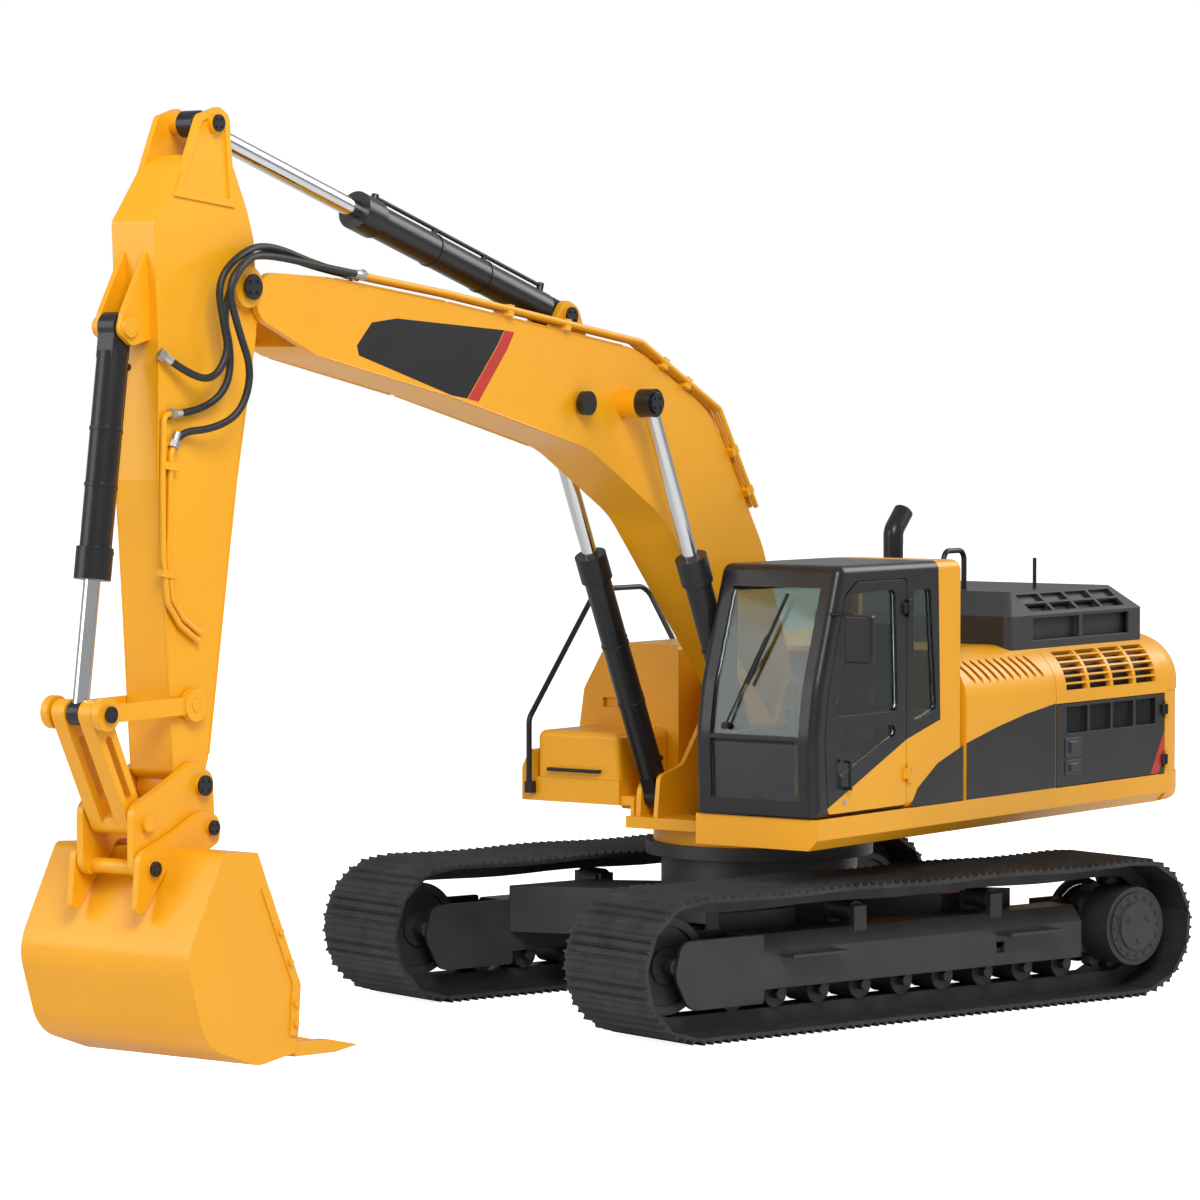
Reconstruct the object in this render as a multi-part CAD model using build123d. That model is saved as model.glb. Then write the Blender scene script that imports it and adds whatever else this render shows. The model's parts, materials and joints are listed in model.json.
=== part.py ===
from build123d import *
import os
from math import atan2, cos, degrees, hypot, pi, radians, sin, tan

# Crawler excavator, in millimetres.
# +X points forward along the boom, +Y to the machine's left, +Z up.
# The origin is on the swing axis, on the ground.

# Undercarriage
swing_rest = 15.7
wheel_base = 4040
track_gauge = 2740
shoe_width = 850
shoe_count = 49
pitch_radius = 394
link_depth = 57
link_width = 190
shoe_bottom = 46
shoe_top = 70
grouser_height = 26
grouser_half = 15
grouser_pitch = 70
shoe_gap = 8
chain_sag = 14
rail_clearance = 0.5

frame_half = 215
frame_low = 292
frame_shoulder = 545
frame_top = 650
frame_ridge_half = 125
frame_rear = -1610
frame_front = 1330
frame_wall = 30
guard_front = 2060
guard_low = 200
guard_thickness = 30
idler_width = 150
idler_shaft_radius = 55
roller_count = 9
roller_span = 3000
roller_radius = 98
roller_width = 250
roller_shaft_radius = 38
carrier_x = (400, -850)
carrier_radius = 68
carrier_width = 220
step_x = (920, -1050)
step_length = 500
step_width = 150
step_height = 505
lash_hole = 75
lash_hole_x = -835

sprocket_teeth = 11
sprocket_width = 90
hub_radius = 275
hub_out = 330
motor_radius = 250

pedestal_radius = 690
pedestal_low = 560
pedestal_top = 1010
leg_reach = 1000
leg_foot_half = 330
leg_root_half = 430
leg_low = 430
leg_top = 760
tow_bore = 36
tow_plate = 60
tow_reach = 720
tow_margin = 90
tow_height = 500
ring_radius = 800
ring_inner = 530
ring_height = 90
swing_clearance = 0.6
upper_ring_radius = 745

# Revolving frame
deck_bottom = 1212
belly_plate = 12
deck_top = 1420
deck_half = 1493
deck_rear = -3140
deck_front = 1530
box_deck = 1355
skirt_wall = 30
skirt_slope = 70
floor_plate = 25
centre_front = 860
centre_rear = 150
centre_top = 1292
cab_front = 1550
cab_inner = 528
box_front = 788
box_inner = -560
bracket_gap = 285
bracket_thickness = 35
boom_foot = (0, 2050)
boom_foot_boss = 165
boom_foot_pin = 60
lift_foot = (650, 1430)
lift_centre = 418
lift_eye_width = 110
lift_pin = 50
ear_thickness = 40
ear_gap = 6

# Counterweight and engine bay
tail = -3620
weight_bottom = 1215
weight_corner = 420
weight_foot_radius = 80
weight_band = (1430, 2040)
weight_band_depth = 8
bay_front = -340
bay_top = 2450
shoulder_radius = 350
side_hinge_heights = (1530, 1900)
panel_wall = 40
door_split = -1565
pump_split = -1700
door_gap = 8
door_top = 2020
door_vent = (1800, 1990)
door_vent_margin = 119
vent_columns = 4
vent_rib = 40
vent_rows = 6
vent_low_turn = 5
vent_turn = 9
vent_height = 40
slot_count = 10
slot_front = -440
slot_pitch = 102.6
slot_height = 2296
slot_lean = 50
slot_length = 190
slot_width = 34
seam_depth = 6
seam_width = 8
hood_front = -1200
hood_rear = -3130
hood_left = 1310
hood_right = -350
hood_waist = 2650
hood_top = 2810
hood_crown = (-1500, -2990, 1120, -200)
hood_corner = 60
hood_wall = 25
hood_side_vents = ((-2190, -1540), (-2910, -2240))
hood_axis = 2462
hood_barrel = 11
engine_front = -1750
engine_rear = -2950
engine_half = 620
engine_top = 2380
exhaust_place = (-2617, -550)
exhaust_radius = 75
exhaust_top = 3190

# Tank and storage box
tank_front = 190
tank_rear = -900
tank_inner = -560
tank_top = 2450
tank_wall = 40
store_inner = -650
store_split = 1525
store_top = 1856
store_cheek = -1362
store_wall = 20
store_gap = 14
rail_x = 830
rail_y = -1400
rail_top = 2820
rail_radius = 20
store_hinge = 10

# Cab
cab_rear = -300
cab_top = 3090
cab_brow = 1247
cab_knee = 2291
cab_knee_x = 1517
cab_belly = 1572
cab_waist = 1960
cab_wall = 55
cab_post = 130
cab_corner = 80
cab_edge = 60
door_front = 1449
door_rear = 430
door_low = 1440
door_high = 2985
screen_levels = ((1540, 1935), (1965, 2940))
mirror_place = (1420, 1750, 2620)
mirror_arm = 14
door_panel = 55
cab_hinge_heights = (1660, 2780)
glass = 12

# Boom
boom_length = 6440
boom_rest_angle = 26.0
boom_width = 440
boom_plate = 20
boom_foot_width = 560
tip_fork_gap = 350
tip_fork_depth = 600
tip_pin = 55
tip_boss = 125
stick_foot_on_boom = (3344, 1362)
lift_on_boom = (2666, 1056)
lamp_on_boom = (3120, 835)
boom_crest = ((750, 880), (1700, 1440), (2700, 1440), (4680, 790), (5800, 392))
line_lift = 50
line_radius = 18
line_bend = 80
line_sides = (200, 248, 152)
line_end = 0.75

# Stick
stick_length = 2995
stick_rest_angle = -81.0
stick_width = 330
stick_plate = 18
crowd_on_stick = (-914, 411)
curl_on_stick = (392, 908)
idler_on_stick = (stick_length - 467, 106)
head_plate = 25
head_rim = 12
head_border = 45
line_side = 191
stick_line_paths = (
    ((1037, 507), (1094, 524), (1300, 500), (1706, 453), (1934, 381), (2028, 275), (2103, 99)),
    ((855, 560), (868, 622), (1250, 575), (1700, 500), (1960, 420), (2075, 290), (2150, 110)),
)
stick_tip_boss = 130
stick_tip_pin = 50

# Cylinders
lift_bore = 92
lift_rod = 52
lift_barrel = 1880
crowd_bore = 105
crowd_rod = 58
crowd_barrel = 2200
curl_bore = 92
curl_rod = 50
curl_barrel = 1490
hinge_offset = 16
hinge_bolt = 7
hinge_knuckle_radius = 13
hinge_half = 60
hinge_leaf = 36
eye_clearance = 0.5
seat_gap = 0.3
rod_clearance = 1
rod_inside = 60
crowd_eye_width = 125
crowd_pin = 50
curl_foot_width = 125
curl_pin = 42
curl_eye_width = 85
link_pin = 42

# Bucket linkage, measured from the stick's tip pin as the bucket hangs
coupler_link_pin = (490, -190)
link_meet = (811, 465)
coupler_front_pin = (-32, -251)
coupler_rear_pin = (493, -454)
bucket_half = 660
h_half = 155
h_window = 55
coupler_pin = 45
bucket_wall = 25

# Hoses from the boom's tubes to the bucket cylinder and to the stick's tubes
hose_radius = 22.5
hose_run = 310
hose_bends = (
    (
        (5606, 200, 5144), (6018, 315, 5055), (6198, 315, 4890), (6137, 315, 4637),
        (6092, 315, 4483), (6216, 300, 4311), (6404, 260, 4352), (6560, 190, 4470),
    ),
    (
        (5733, 248, 5080), (6054, 380, 5006), (6178, 380, 4860), (6064, 368, 4607),
        (5942, 368, 4370), (6017, 350, 4127), (6193, 285, 4027), (6412, 191, 4010), (6451.1, 191, 3928.5),
    ),
    (
        (5549, 160, 5100), (5921, 262, 5012), (6093, 262, 4720), (6007, 262, 4483),
        (6047, 262, 4257), (6225, 191, 4127), (6474.7, 191, 4116.2),
    ),
)


def turned(point, angle, origin=(0, 0)):
    """A point (along, across) of a member, where the member's origin and angle put it."""
    turn = radians(angle)
    x = origin[0] + point[0] * cos(turn) - point[1] * sin(turn)
    z = origin[1] + point[0] * sin(turn) + point[1] * cos(turn)
    return (x, z)


def slab(face, low, high):
    """A face drawn in X and Z, made solid from low to high along Y."""
    plane = Plane(origin=(0, high, 0), x_dir=(1, 0, 0), z_dir=(0, -1, 0))
    return extrude(plane * face, amount=high - low)


def across(face, start, stop):
    """A face drawn in Y and Z, made solid from start to stop along X."""
    plane = Plane(origin=(start, 0, 0), x_dir=(0, 1, 0), z_dir=(1, 0, 0))
    return extrude(plane * face, amount=stop - start)


def disc(centre, radius, low, high):
    """A round bar along Y."""
    plane = Plane(origin=(centre[0], low, centre[1]), x_dir=(1, 0, 0), z_dir=(0, 1, 0))
    return extrude(plane * Circle(radius), amount=high - low)


def block(x0, x1, y0, y1, z0, z1):
    """A plain block between two corners."""
    middle = Pos((x0 + x1) / 2, (y0 + y1) / 2, (z0 + z1) / 2)
    return middle * Box(abs(x1 - x0), abs(y1 - y0), abs(z1 - z0))


def post(x, y, radius, z0, z1):
    """A round bar along Z."""
    return Pos(x, y, (z0 + z1) / 2) * Cylinder(radius, z1 - z0)


def outline(corners):
    """A closed face through corners (x, y, radius), each corner rounded by its radius."""
    count = len(corners)
    ends = []
    for index, (x, y, radius) in enumerate(corners):
        here = Vector(x, y)
        back = (Vector(*corners[index - 1][:2]) - here).normalized()
        onward = (Vector(*corners[(index + 1) % count][:2]) - here).normalized()
        if radius == 0:
            ends.append((here, None, here))
            continue
        half = radians(back.get_angle(onward)) / 2
        reach = radius / tan(half)
        middle = here + (back + onward).normalized() * (radius / sin(half) - radius)
        ends.append((here + back * reach, middle, here + onward * reach))
    edges = []
    for index, (start, middle, stop) in enumerate(ends):
        if middle is not None:
            edges.append(ThreePointArc(start, middle, stop))
        following = ends[(index + 1) % count][0]
        if (following - stop).length > 0.01:
            edges.append(Line(stop, following))
    return make_face(edges)


def save(name, shape):
    """Write one sub-part."""
    solids = shape.solids() if hasattr(shape, "solids") else shape
    whole = solids[0] if len(solids) == 1 else Compound(children=list(solids))
    export_step(whole, f"parts/{name}.step")


def undercarriage(shape):
    """Turn a piece of the undercarriage under the upper, which stands swung to the left."""
    return Rot(0, 0, -swing_rest) * shape


def tube(points, radius, bend):
    """A round tube through points, with one radius for every bend."""
    line = FilletPolyline(*points, radius=bend)
    start = Vector(*points[0])
    plane = Plane(origin=start, z_dir=Vector(*points[1]) - start)
    return sweep(plane * Circle(radius), path=line)


# Tracks
wheel_height = pitch_radius + shoe_top + grouser_height
run_length = wheel_base
arc_length = pi * pitch_radius
loop_length = 2 * run_length + 2 * arc_length
link_pitch = loop_length / shoe_count
half_link_turn = link_pitch / pitch_radius / 2
wheel_tread = (pitch_radius - link_depth) * cos(half_link_turn) - rail_clearance


def pin_line(distance):
    """The chain's pin line at a distance along it, from the foot of the front wheel backwards."""
    half = wheel_base / 2
    distance = distance % loop_length
    if distance < run_length:
        return (half - distance, wheel_height - pitch_radius)
    distance -= run_length
    if distance < arc_length:
        turn = distance / pitch_radius
        return (-half - pitch_radius * sin(turn), wheel_height - pitch_radius * cos(turn))
    distance -= arc_length
    if distance < run_length:
        dip = chain_sag * sin(3 * pi * distance / run_length) ** 2
        return (-half + distance, wheel_height + pitch_radius - dip)
    turn = (distance - run_length) / pitch_radius
    return (half + pitch_radius * sin(turn), wheel_height + pitch_radius * cos(turn))


def shoe_points(index):
    """The outer outline of one shoe: its two ends and its three grousers."""
    start = Vector(*pin_line(index * link_pitch))
    stop = Vector(*pin_line((index + 1) * link_pitch))
    along = (stop - start).normalized()
    outward = Vector(-along.Y, along.X)
    middle = (start + stop) * 0.5
    half = (stop - start).length / 2 - shoe_gap / 2
    shape = [(-half, shoe_top)]
    for grouser in (-grouser_pitch, 0, grouser_pitch):
        shape.append((grouser - grouser_half, shoe_top))
        shape.append((grouser, shoe_top + grouser_height))
        shape.append((grouser + grouser_half, shoe_top))
    shape.append((half, shoe_top))
    return [middle + along * u + outward * v for u, v in shape]


def loop_points(height):
    """The loop at a height outside the pin line, one point for each pin."""
    points = []
    for index in range(shoe_count):
        before = Vector(*pin_line((index - 0.5) * link_pitch))
        after = Vector(*pin_line((index + 0.5) * link_pitch))
        along = (after - before).normalized()
        outward = Vector(-along.Y, along.X)
        points.append(Vector(*pin_line(index * link_pitch)) + outward * height)
    return points


def hinge_pin(x, y, z, fixed_x, fixed_y):
    """Pin of a door hinge between two lugs that stand on the fixed piece."""
    body = post(x, y, hinge_bolt, z - hinge_half, z + hinge_half)
    near, far = sorted((x, fixed_x))
    side0, side1 = sorted((y, fixed_y))
    for low in (z - hinge_half, z + hinge_leaf):
        high = low + hinge_half - hinge_leaf
        body += block(near - 8, far + 8, y - 8, y + 8, low, high)
        body += block(fixed_x - 8, fixed_x + 8, side0, side1, low, high)
    return body


def hinge_knuckle(x, y, z, door_x, face_y):
    """Bored knuckle of a door hinge, with its strap on the door."""
    reach = hinge_leaf - seat_gap
    near, far = sorted((x, door_x))
    side0, side1 = sorted((y, face_y))
    body = post(x, y, hinge_knuckle_radius, z - reach, z + reach)
    body += block(near, far, side0, side1, z - reach, z + reach)
    return body - post(x, y, hinge_bolt + seat_gap, z - reach - 5, z + reach + 5)


def ring_face(points):
    """A closed face through a list of points."""
    return make_face(Polyline(*points, close=True))


def track(side):
    """One track: shoes with three grousers in the loop's outline, on a chain of links."""
    centre = side * track_gauge / 2
    outer = []
    for index in range(shoe_count):
        seam = loop_points_at_seam[index]
        outer.append(seam)
        outer.extend(shoe_points(index))
    plates = ring_face(outer) - ring_face(loop_points(shoe_bottom))
    links = ring_face(loop_points(shoe_bottom + 2)) - ring_face(loop_points(-link_depth))
    wide = slab(plates, centre - shoe_width / 2, centre + shoe_width / 2)
    narrow = slab(links, centre - link_width / 2, centre + link_width / 2)
    return wide + narrow


loop_points_at_seam = loop_points(shoe_bottom + 6)


def sprocket_face():
    """The sprocket's toothed outline."""
    tip = wheel_tread
    root = tip - 45
    step = 2 * pi / sprocket_teeth
    points = []
    for tooth in range(sprocket_teeth):
        for offset, radius in ((-0.32, root), (-0.14, tip), (0.14, tip), (0.32, root)):
            turn = (tooth + offset) * step
            points.append(Vector(radius * cos(turn), radius * sin(turn)))
    return ring_face(points)


def final_drive(side):
    """Sprocket, hub with its flat cover, and the motor housing on the inside."""
    centre = side * track_gauge / 2
    x = -wheel_base / 2
    teeth = Pos(x, wheel_height) * sprocket_face()
    body = slab(teeth, centre - sprocket_width / 2, centre + sprocket_width / 2)
    near = centre - side * frame_half
    far = centre + side * hub_out
    body += disc((x, wheel_height), motor_radius, min(near, centre), max(near, centre))
    body += disc((x, wheel_height), hub_radius, min(far, centre), max(far, centre))
    return body


def idler(side):
    """Front wheel with a raised middle, on its shaft."""
    centre = side * track_gauge / 2
    place = (wheel_base / 2, wheel_height)
    tread = wheel_tread
    wheel = disc(place, tread, centre - idler_width / 2, centre + idler_width / 2)
    for face in (-1, 1):
        rim = disc(place, tread - 60, centre + face * 55, centre + face * (idler_width / 2 + 1))
        hub = disc(place, 120, centre + face * 55, centre + face * (idler_width / 2 + 1))
        wheel -= rim - hub if face > 0 else rim - hub
    reach = frame_half - guard_thickness - seat_gap
    return wheel + disc(place, idler_shaft_radius, centre - reach, centre + reach)


def rollers(side):
    """Nine track rollers and two carrier rollers, each a solid of its own."""
    centre = side * track_gauge / 2
    rail = wheel_height - pitch_radius + link_depth + rail_clearance
    parts = []
    for index in range(roller_count):
        x = -roller_span / 2 + index * roller_span / (roller_count - 1)
        place = (x, rail + roller_radius)
        reach = frame_half - frame_wall - seat_gap
        tread = disc(place, roller_radius, centre - roller_width / 2, centre + roller_width / 2)
        shaft = disc(place, roller_shaft_radius, centre - reach, centre + reach)
        parts.append(tread + shaft)
    rail = wheel_height + pitch_radius - link_depth - rail_clearance - chain_sag
    for x in carrier_x:
        place = (x, rail - carrier_radius)
        parts.append(disc(place, carrier_radius, centre - carrier_width / 2, centre + carrier_width / 2))
    return parts


def track_frame(side):
    """Box beam with a sloped top, skirts round the rollers, idler guards, steps and roller posts."""
    centre = side * track_gauge / 2
    section = [
        (-frame_half, frame_low), (frame_half, frame_low), (frame_half, frame_shoulder),
        (frame_ridge_half, frame_top), (-frame_ridge_half, frame_top), (-frame_half, frame_shoulder),
    ]
    plane = Plane(origin=(frame_rear, centre, 0), x_dir=(0, 1, 0), z_dir=(1, 0, 0))
    beam = extrude(plane * Polygon(*section, align=None), amount=frame_front - frame_rear)
    rail = wheel_height - pitch_radius + link_depth
    channel_top = rail + 2 * roller_radius + 30
    inner = frame_half - frame_wall
    beam -= block(frame_rear, frame_front, centre - inner, centre + inner, frame_low, channel_top)
    hollow = [
        (-inner, channel_top + frame_wall), (inner, channel_top + frame_wall),
        (inner, frame_shoulder - 10), (frame_ridge_half - 10, frame_top - frame_wall),
        (10 - frame_ridge_half, frame_top - frame_wall), (-inner, frame_shoulder - 10),
    ]
    plane = Plane(origin=(frame_rear + frame_wall, centre, 0), x_dir=(0, 1, 0), z_dir=(1, 0, 0))
    cavity = Polygon(*hollow, align=None)
    beam -= extrude(plane * cavity, amount=frame_front - frame_rear - 2 * frame_wall)
    outer = centre + side * frame_half
    hole = lash_hole / 2
    low, high = sorted((outer + side * 5, outer - side * (frame_wall + 5)))
    beam -= block(lash_hole_x - hole, lash_hole_x + hole, low, high, 418 - hole, 418 + hole)
    corners = [
        (frame_front - 30, guard_low, 30), (guard_front - 120, guard_low, 120),
        (guard_front, wheel_height - 60, 150), (guard_front - 60, 660, 90),
        (frame_front - 30, 660, 20),
    ]
    guard = outline(corners)
    for face in (-1, 1):
        low, high = sorted((centre + face * (frame_half - guard_thickness), centre + face * frame_half))
        beam += slab(guard, low, high)
    for x in carrier_x:
        top = wheel_height + pitch_radius - link_depth - rail_clearance - chain_sag - carrier_radius
        reach = centre + side * (carrier_width / 2)
        arm = side * 45
        low, high = sorted((reach + side * seat_gap, reach + arm))
        stand = block(x - 55, x + 55, low, high, 600, top + 40)
        inner_end = centre - side * (carrier_width / 2 + seat_gap)
        low2, high2 = sorted((inner_end, inner_end - arm))
        stand += block(x - 55, x + 55, low2, high2, 600, top + 40)
        beam += stand
    for x in step_x:
        low, high = sorted((outer - side * 2, outer + side * step_width))
        plate = block(x - step_length / 2, x + step_length / 2, low, high, step_height, step_height + 20)
        beam += plate
    rear = [
        (frame_rear + 30, frame_low, 20), (frame_rear + 30, frame_top - 30, 30),
        (frame_rear - 230, wheel_height + 200, 60), (frame_rear - 230, wheel_height - 200, 60),
    ]
    low, high = sorted((centre - side * frame_half, centre - side * (frame_half - 60)))
    beam += slab(outline(rear), low, high)
    low, high = sorted((centre - side * frame_half, centre - side * (frame_half + 40)))
    cheek = disc((-wheel_base / 2, wheel_height), motor_radius + 50, low, high)
    arm = block(-wheel_base / 2, frame_rear + 60, low, high, wheel_height - 200, wheel_height + 180)
    beam += cheek + arm
    return beam - disc((-wheel_base / 2, wheel_height), motor_radius + 1, centre - 400, centre + 400)


def car_body():
    """Centre box with four legs to the track frames, the swing pedestal and the two towing lugs."""
    inner = track_gauge / 2 - frame_half
    body = post(0, 0, pedestal_radius, pedestal_low, pedestal_top)
    for front in (-1, 1):
        for side in (-1, 1):
            plan = [
                (front * 120, side * 120), (front * (120 + leg_root_half), side * 60),
                (front * (leg_reach + leg_foot_half), side * inner),
                (front * (leg_reach - leg_foot_half), side * inner), (front * 60, side * 500),
            ]
            face = Plane.XY.offset(leg_low) * make_face(Polyline(*plan, close=True))
            body += extrude(face, amount=leg_top - leg_low)
    body -= post(0, 0, ring_inner - 60, pedestal_low - 200, pedestal_top + 10)
    half = tow_plate / 2
    for front in (-1, 1):
        near, far = sorted((front * (ring_inner - 20), front * (tow_reach + tow_margin)))
        lug = block(near, far, -tow_margin, tow_margin, tow_height - half, tow_height + half)
        body += lug - post(front * tow_reach, 0, tow_bore, tow_height - tow_plate, tow_height + tow_plate)
    return body


def swing_ring():
    """Outer race of the swing bearing, bolted to the pedestal."""
    low = pedestal_top + seat_gap
    race = post(0, 0, ring_radius, low, low + ring_height)
    return race - post(0, 0, ring_inner, low - 5, low + ring_height + 5)


# Upper
def platform(x0, x1, y0, y1):
    """One hollow pan of the deck: skirt, floor plate and belly plate."""
    low = deck_bottom + belly_plate
    pan = block(x0, x1, y0, y1, deck_bottom, deck_top)
    edges = pan.edges().filter_by(Axis.X).group_by(Axis.Z)[0]
    outer = edges.sort_by(Axis.Y)[-1] if y1 > 0 else edges.sort_by(Axis.Y)[0]
    pan = chamfer(outer, skirt_slope)
    wall = skirt_wall
    hollow = block(x0 + wall, x1 - wall, y0 + wall, y1 - wall, low, deck_top - floor_plate)
    edges = hollow.edges().filter_by(Axis.X).group_by(Axis.Z)[0]
    outer = edges.sort_by(Axis.Y)[-1] if y1 > 0 else edges.sort_by(Axis.Y)[0]
    return pan - chamfer(outer, skirt_slope)


def bracket_face():
    """Outline of one boom bracket plate."""
    return outline([
        (-1500, deck_top - 5, 0), (-1300, 1640, 120), (-260, 2120, 120), (-90, 2250, 140),
        (140, 2240, 140), (230, 2000, 120), (520, 1640, 160), (800, 1580, 60),
        (centre_front - 20, centre_top - 5, 0), (centre_rear, centre_top - 5, 0), (centre_rear, deck_top - 5, 0),
    ])


def revolving_frame():
    """Deck with its sloped skirts, boom brackets with their pins, and the inner race of the bearing."""
    brackets = bracket_gap + bracket_thickness
    deck = platform(deck_rear, deck_front, cab_inner - 10, deck_half)
    deck += platform(deck_rear, bay_front, -deck_half, box_inner)
    deck += block(bay_front - skirt_wall, box_front - store_wall - 1, -deck_half, box_inner, box_deck, deck_top)
    deck += block(deck_rear, centre_rear, box_inner - 1, cab_inner - 9, deck_top - floor_plate, deck_top)
    deck += block(
        centre_rear - 20, centre_front, box_inner + 20, cab_inner - 12, deck_bottom, centre_top
    )
    deck += block(box_front - 260, box_front - store_wall - 1, box_inner - 5, box_inner + 25, deck_bottom, deck_top - 5)
    deck += block(deck_rear, deck_rear + skirt_wall, box_inner - 1, cab_inner - 9, deck_bottom, deck_top)
    low = pedestal_top + ring_height + swing_clearance
    deck += post(0, 0, upper_ring_radius, low, centre_top - 2)
    deck -= post(0, 0, ring_inner, low - 5, deck_top - floor_plate - 1)
    for side in (-1, 1):
        low, high = sorted((side * bracket_gap, side * brackets))
        deck += slab(bracket_face(), low, high)
        deck += block(deck_rear + 5, centre_rear, low, high, deck_bottom + 5, deck_top - 2)
        ear = side * (lift_centre + lift_eye_width / 2 + ear_gap)
        low, high = sorted((ear, ear + side * ear_thickness))
        face = outline([
            (lift_foot[0] - 130, centre_top - 5, 0), (lift_foot[0] - 100, lift_foot[1] + 105, 100),
            (lift_foot[0] + 100, lift_foot[1] + 105, 100), (lift_foot[0] + 120, centre_top - 5, 0),
        ])
        deck += slab(face, low, high)
        low, high = sorted((side * (brackets - 5), ear + side * ear_thickness))
        deck += disc(lift_foot, lift_pin, low, high)
    return deck + disc(boom_foot, boom_foot_pin, -brackets - 20, brackets + 20)


def counterweight():
    """Cast block round the tail, rounded at its corners, with a shallow band sunk round its middle."""
    sides = []
    for inset in (0, weight_band_depth):
        side = deck_half - inset
        sides.append(outline([
            (deck_rear - seat_gap, -side, 0), (deck_rear - seat_gap, side, 0),
            (tail + inset, side, weight_corner - inset), (tail + inset, -side, weight_corner - inset),
        ]))
    body = extrude(Plane.XY.offset(weight_bottom) * sides[0], amount=bay_top - weight_bottom)
    top = body.faces().sort_by(Axis.Z)[-1]
    body = fillet(top.edges().filter_by(lambda e: e.center().X < deck_rear - 10), shoulder_radius)
    foot = body.faces().sort_by(Axis.Z)[0]
    body = fillet(foot.edges().filter_by(lambda e: e.center().X < deck_rear - 10), weight_foot_radius)
    band = extrude(Plane.XY.offset(weight_band[0]) * (sides[0] - sides[1]), amount=weight_band[1] - weight_band[0])
    body -= band & block(tail - 10, deck_rear - 30, -deck_half - 10, deck_half + 10, weight_bottom, bay_top)
    for side in (-1, 1):
        for z in side_hinge_heights:
            hinge_y = side * (deck_half + hinge_offset)
            body += hinge_pin(deck_rear + 8, hinge_y, z, deck_rear - 20, side * (deck_half - 10))
    return body


def side_panel(side, x0, x1, hinge_x):
    """A flat side door as thick as the housing wall, with four grille windows and two hinge knuckles."""
    inner, outer = sorted((side * (deck_half - panel_wall), side * deck_half))
    body = block(x0, x1, inner, outer, deck_top + door_gap, door_top - door_gap)
    pitch = (x1 - x0 - 2 * door_vent_margin) / vent_columns
    for column in range(vent_columns):
        centre = x0 + door_vent_margin + (column + 0.5) * pitch
        half = (pitch - vent_rib) / 2
        body -= block(centre - half, centre + half, inner - 5, outer + 5, *door_vent)
    inward = 50 if x1 + x0 > 2 * hinge_x else -50
    for z in side_hinge_heights:
        body += hinge_knuckle(hinge_x, side * (deck_half + hinge_offset), z, hinge_x + inward, side * (deck_half - 3))
    return body


def bay_face(inset, low):
    """Cross-section of the engine bay: upright sides and rounded shoulders."""
    side = deck_half - inset
    radius = shoulder_radius - inset
    return outline([(-side, low, 0), (side, low, 0), (side, bay_top - inset, radius), (-side, bay_top - inset, radius)])


def engine_housing():
    """The bay's side walls, shoulders and top in one skin, with its vents and its front walls."""
    low = deck_top + seat_gap
    skin = across(bay_face(0, low), deck_rear, bay_front)
    skin -= across(bay_face(panel_wall, low - 5), deck_rear - 5, bay_front + 5)
    skin -= block(tank_rear - 5, bay_front + 5, -deck_half - 5, tank_inner, low - 5, bay_top + 5)
    level = deck_half - shoulder_radius
    skin -= block(hood_rear + 90, hood_front - 90, hood_right + 60, level - 60, bay_top - 90, bay_top + 20)
    for side, front in ((1, door_split), (-1, pump_split)):
        near, far = sorted((side * (deck_half - panel_wall - 5), side * (deck_half + 5)))
        skin -= block(deck_rear - 5, front, near, far, low - 5, door_top)
    seam = bay_face(-1, low) - bay_face(seam_depth, low - 5)
    skin -= across(seam, door_split, door_split + seam_width) & block(door_split, bay_front, level, deck_half + 5, low - 5, bay_top + 5)
    for index in range(slot_count):
        place = Pos(slot_front - index * slot_pitch, slot_height) * Rot(0, 0, slot_lean)
        skin -= slab(place * SlotOverall(slot_length, slot_width), level, deck_half + 5)
    pitch = (door_split - deck_rear - 2 * door_vent_margin) / vent_columns
    for column in range(vent_columns):
        x = deck_rear + door_vent_margin + (column + 0.5) * pitch
        for row in range(vent_rows):
            turn = Rot(vent_low_turn + row * vent_turn, 0, 0)
            place = Pos(x, level, bay_top - shoulder_radius) * turn * Pos(0, shoulder_radius, 0)
            skin -= place * Box(pitch - vent_rib, 3 * panel_wall, vent_height)
    half_wall = panel_wall / 2
    left = across(bay_face(half_wall, low), bay_front - panel_wall, bay_front)
    left = left & block(bay_front - panel_wall, bay_front, cab_inner, deck_half, low, bay_top)
    right = across(bay_face(half_wall, low), tank_rear - 5 - panel_wall, tank_rear - 5)
    right = right & block(tank_rear - 5 - panel_wall, tank_rear - 5, -deck_half, tank_inner, low, bay_top)
    return skin + left + right


def hood_shape(inset):
    """The hood's outer form: upright sides below, four slopes up to a flat top."""
    middle = (hood_left + hood_right) / 2
    low_size = (hood_front - hood_rear - 2 * inset, hood_left - hood_right - 2 * inset)
    top_front, top_rear, top_left, top_right = hood_crown
    top_size = (top_front - top_rear - 2 * inset, top_left - top_right - 2 * inset)
    low_place = Pos((hood_front + hood_rear) / 2, middle, 0)
    top_place = Pos((top_front + top_rear) / 2, (top_left + top_right) / 2, 0)
    low_face = low_place * RectangleRounded(*low_size, hood_corner)
    top_face = top_place * RectangleRounded(*top_size, hood_corner)
    base = bay_top - shoulder_radius / 2
    waist = hood_waist - inset / 2
    body = extrude(Pos(0, 0, base) * low_face, amount=waist - base)
    return body + loft([Pos(0, 0, waist) * low_face, Pos(0, 0, hood_top - inset) * top_face], ruled=True)


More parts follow.
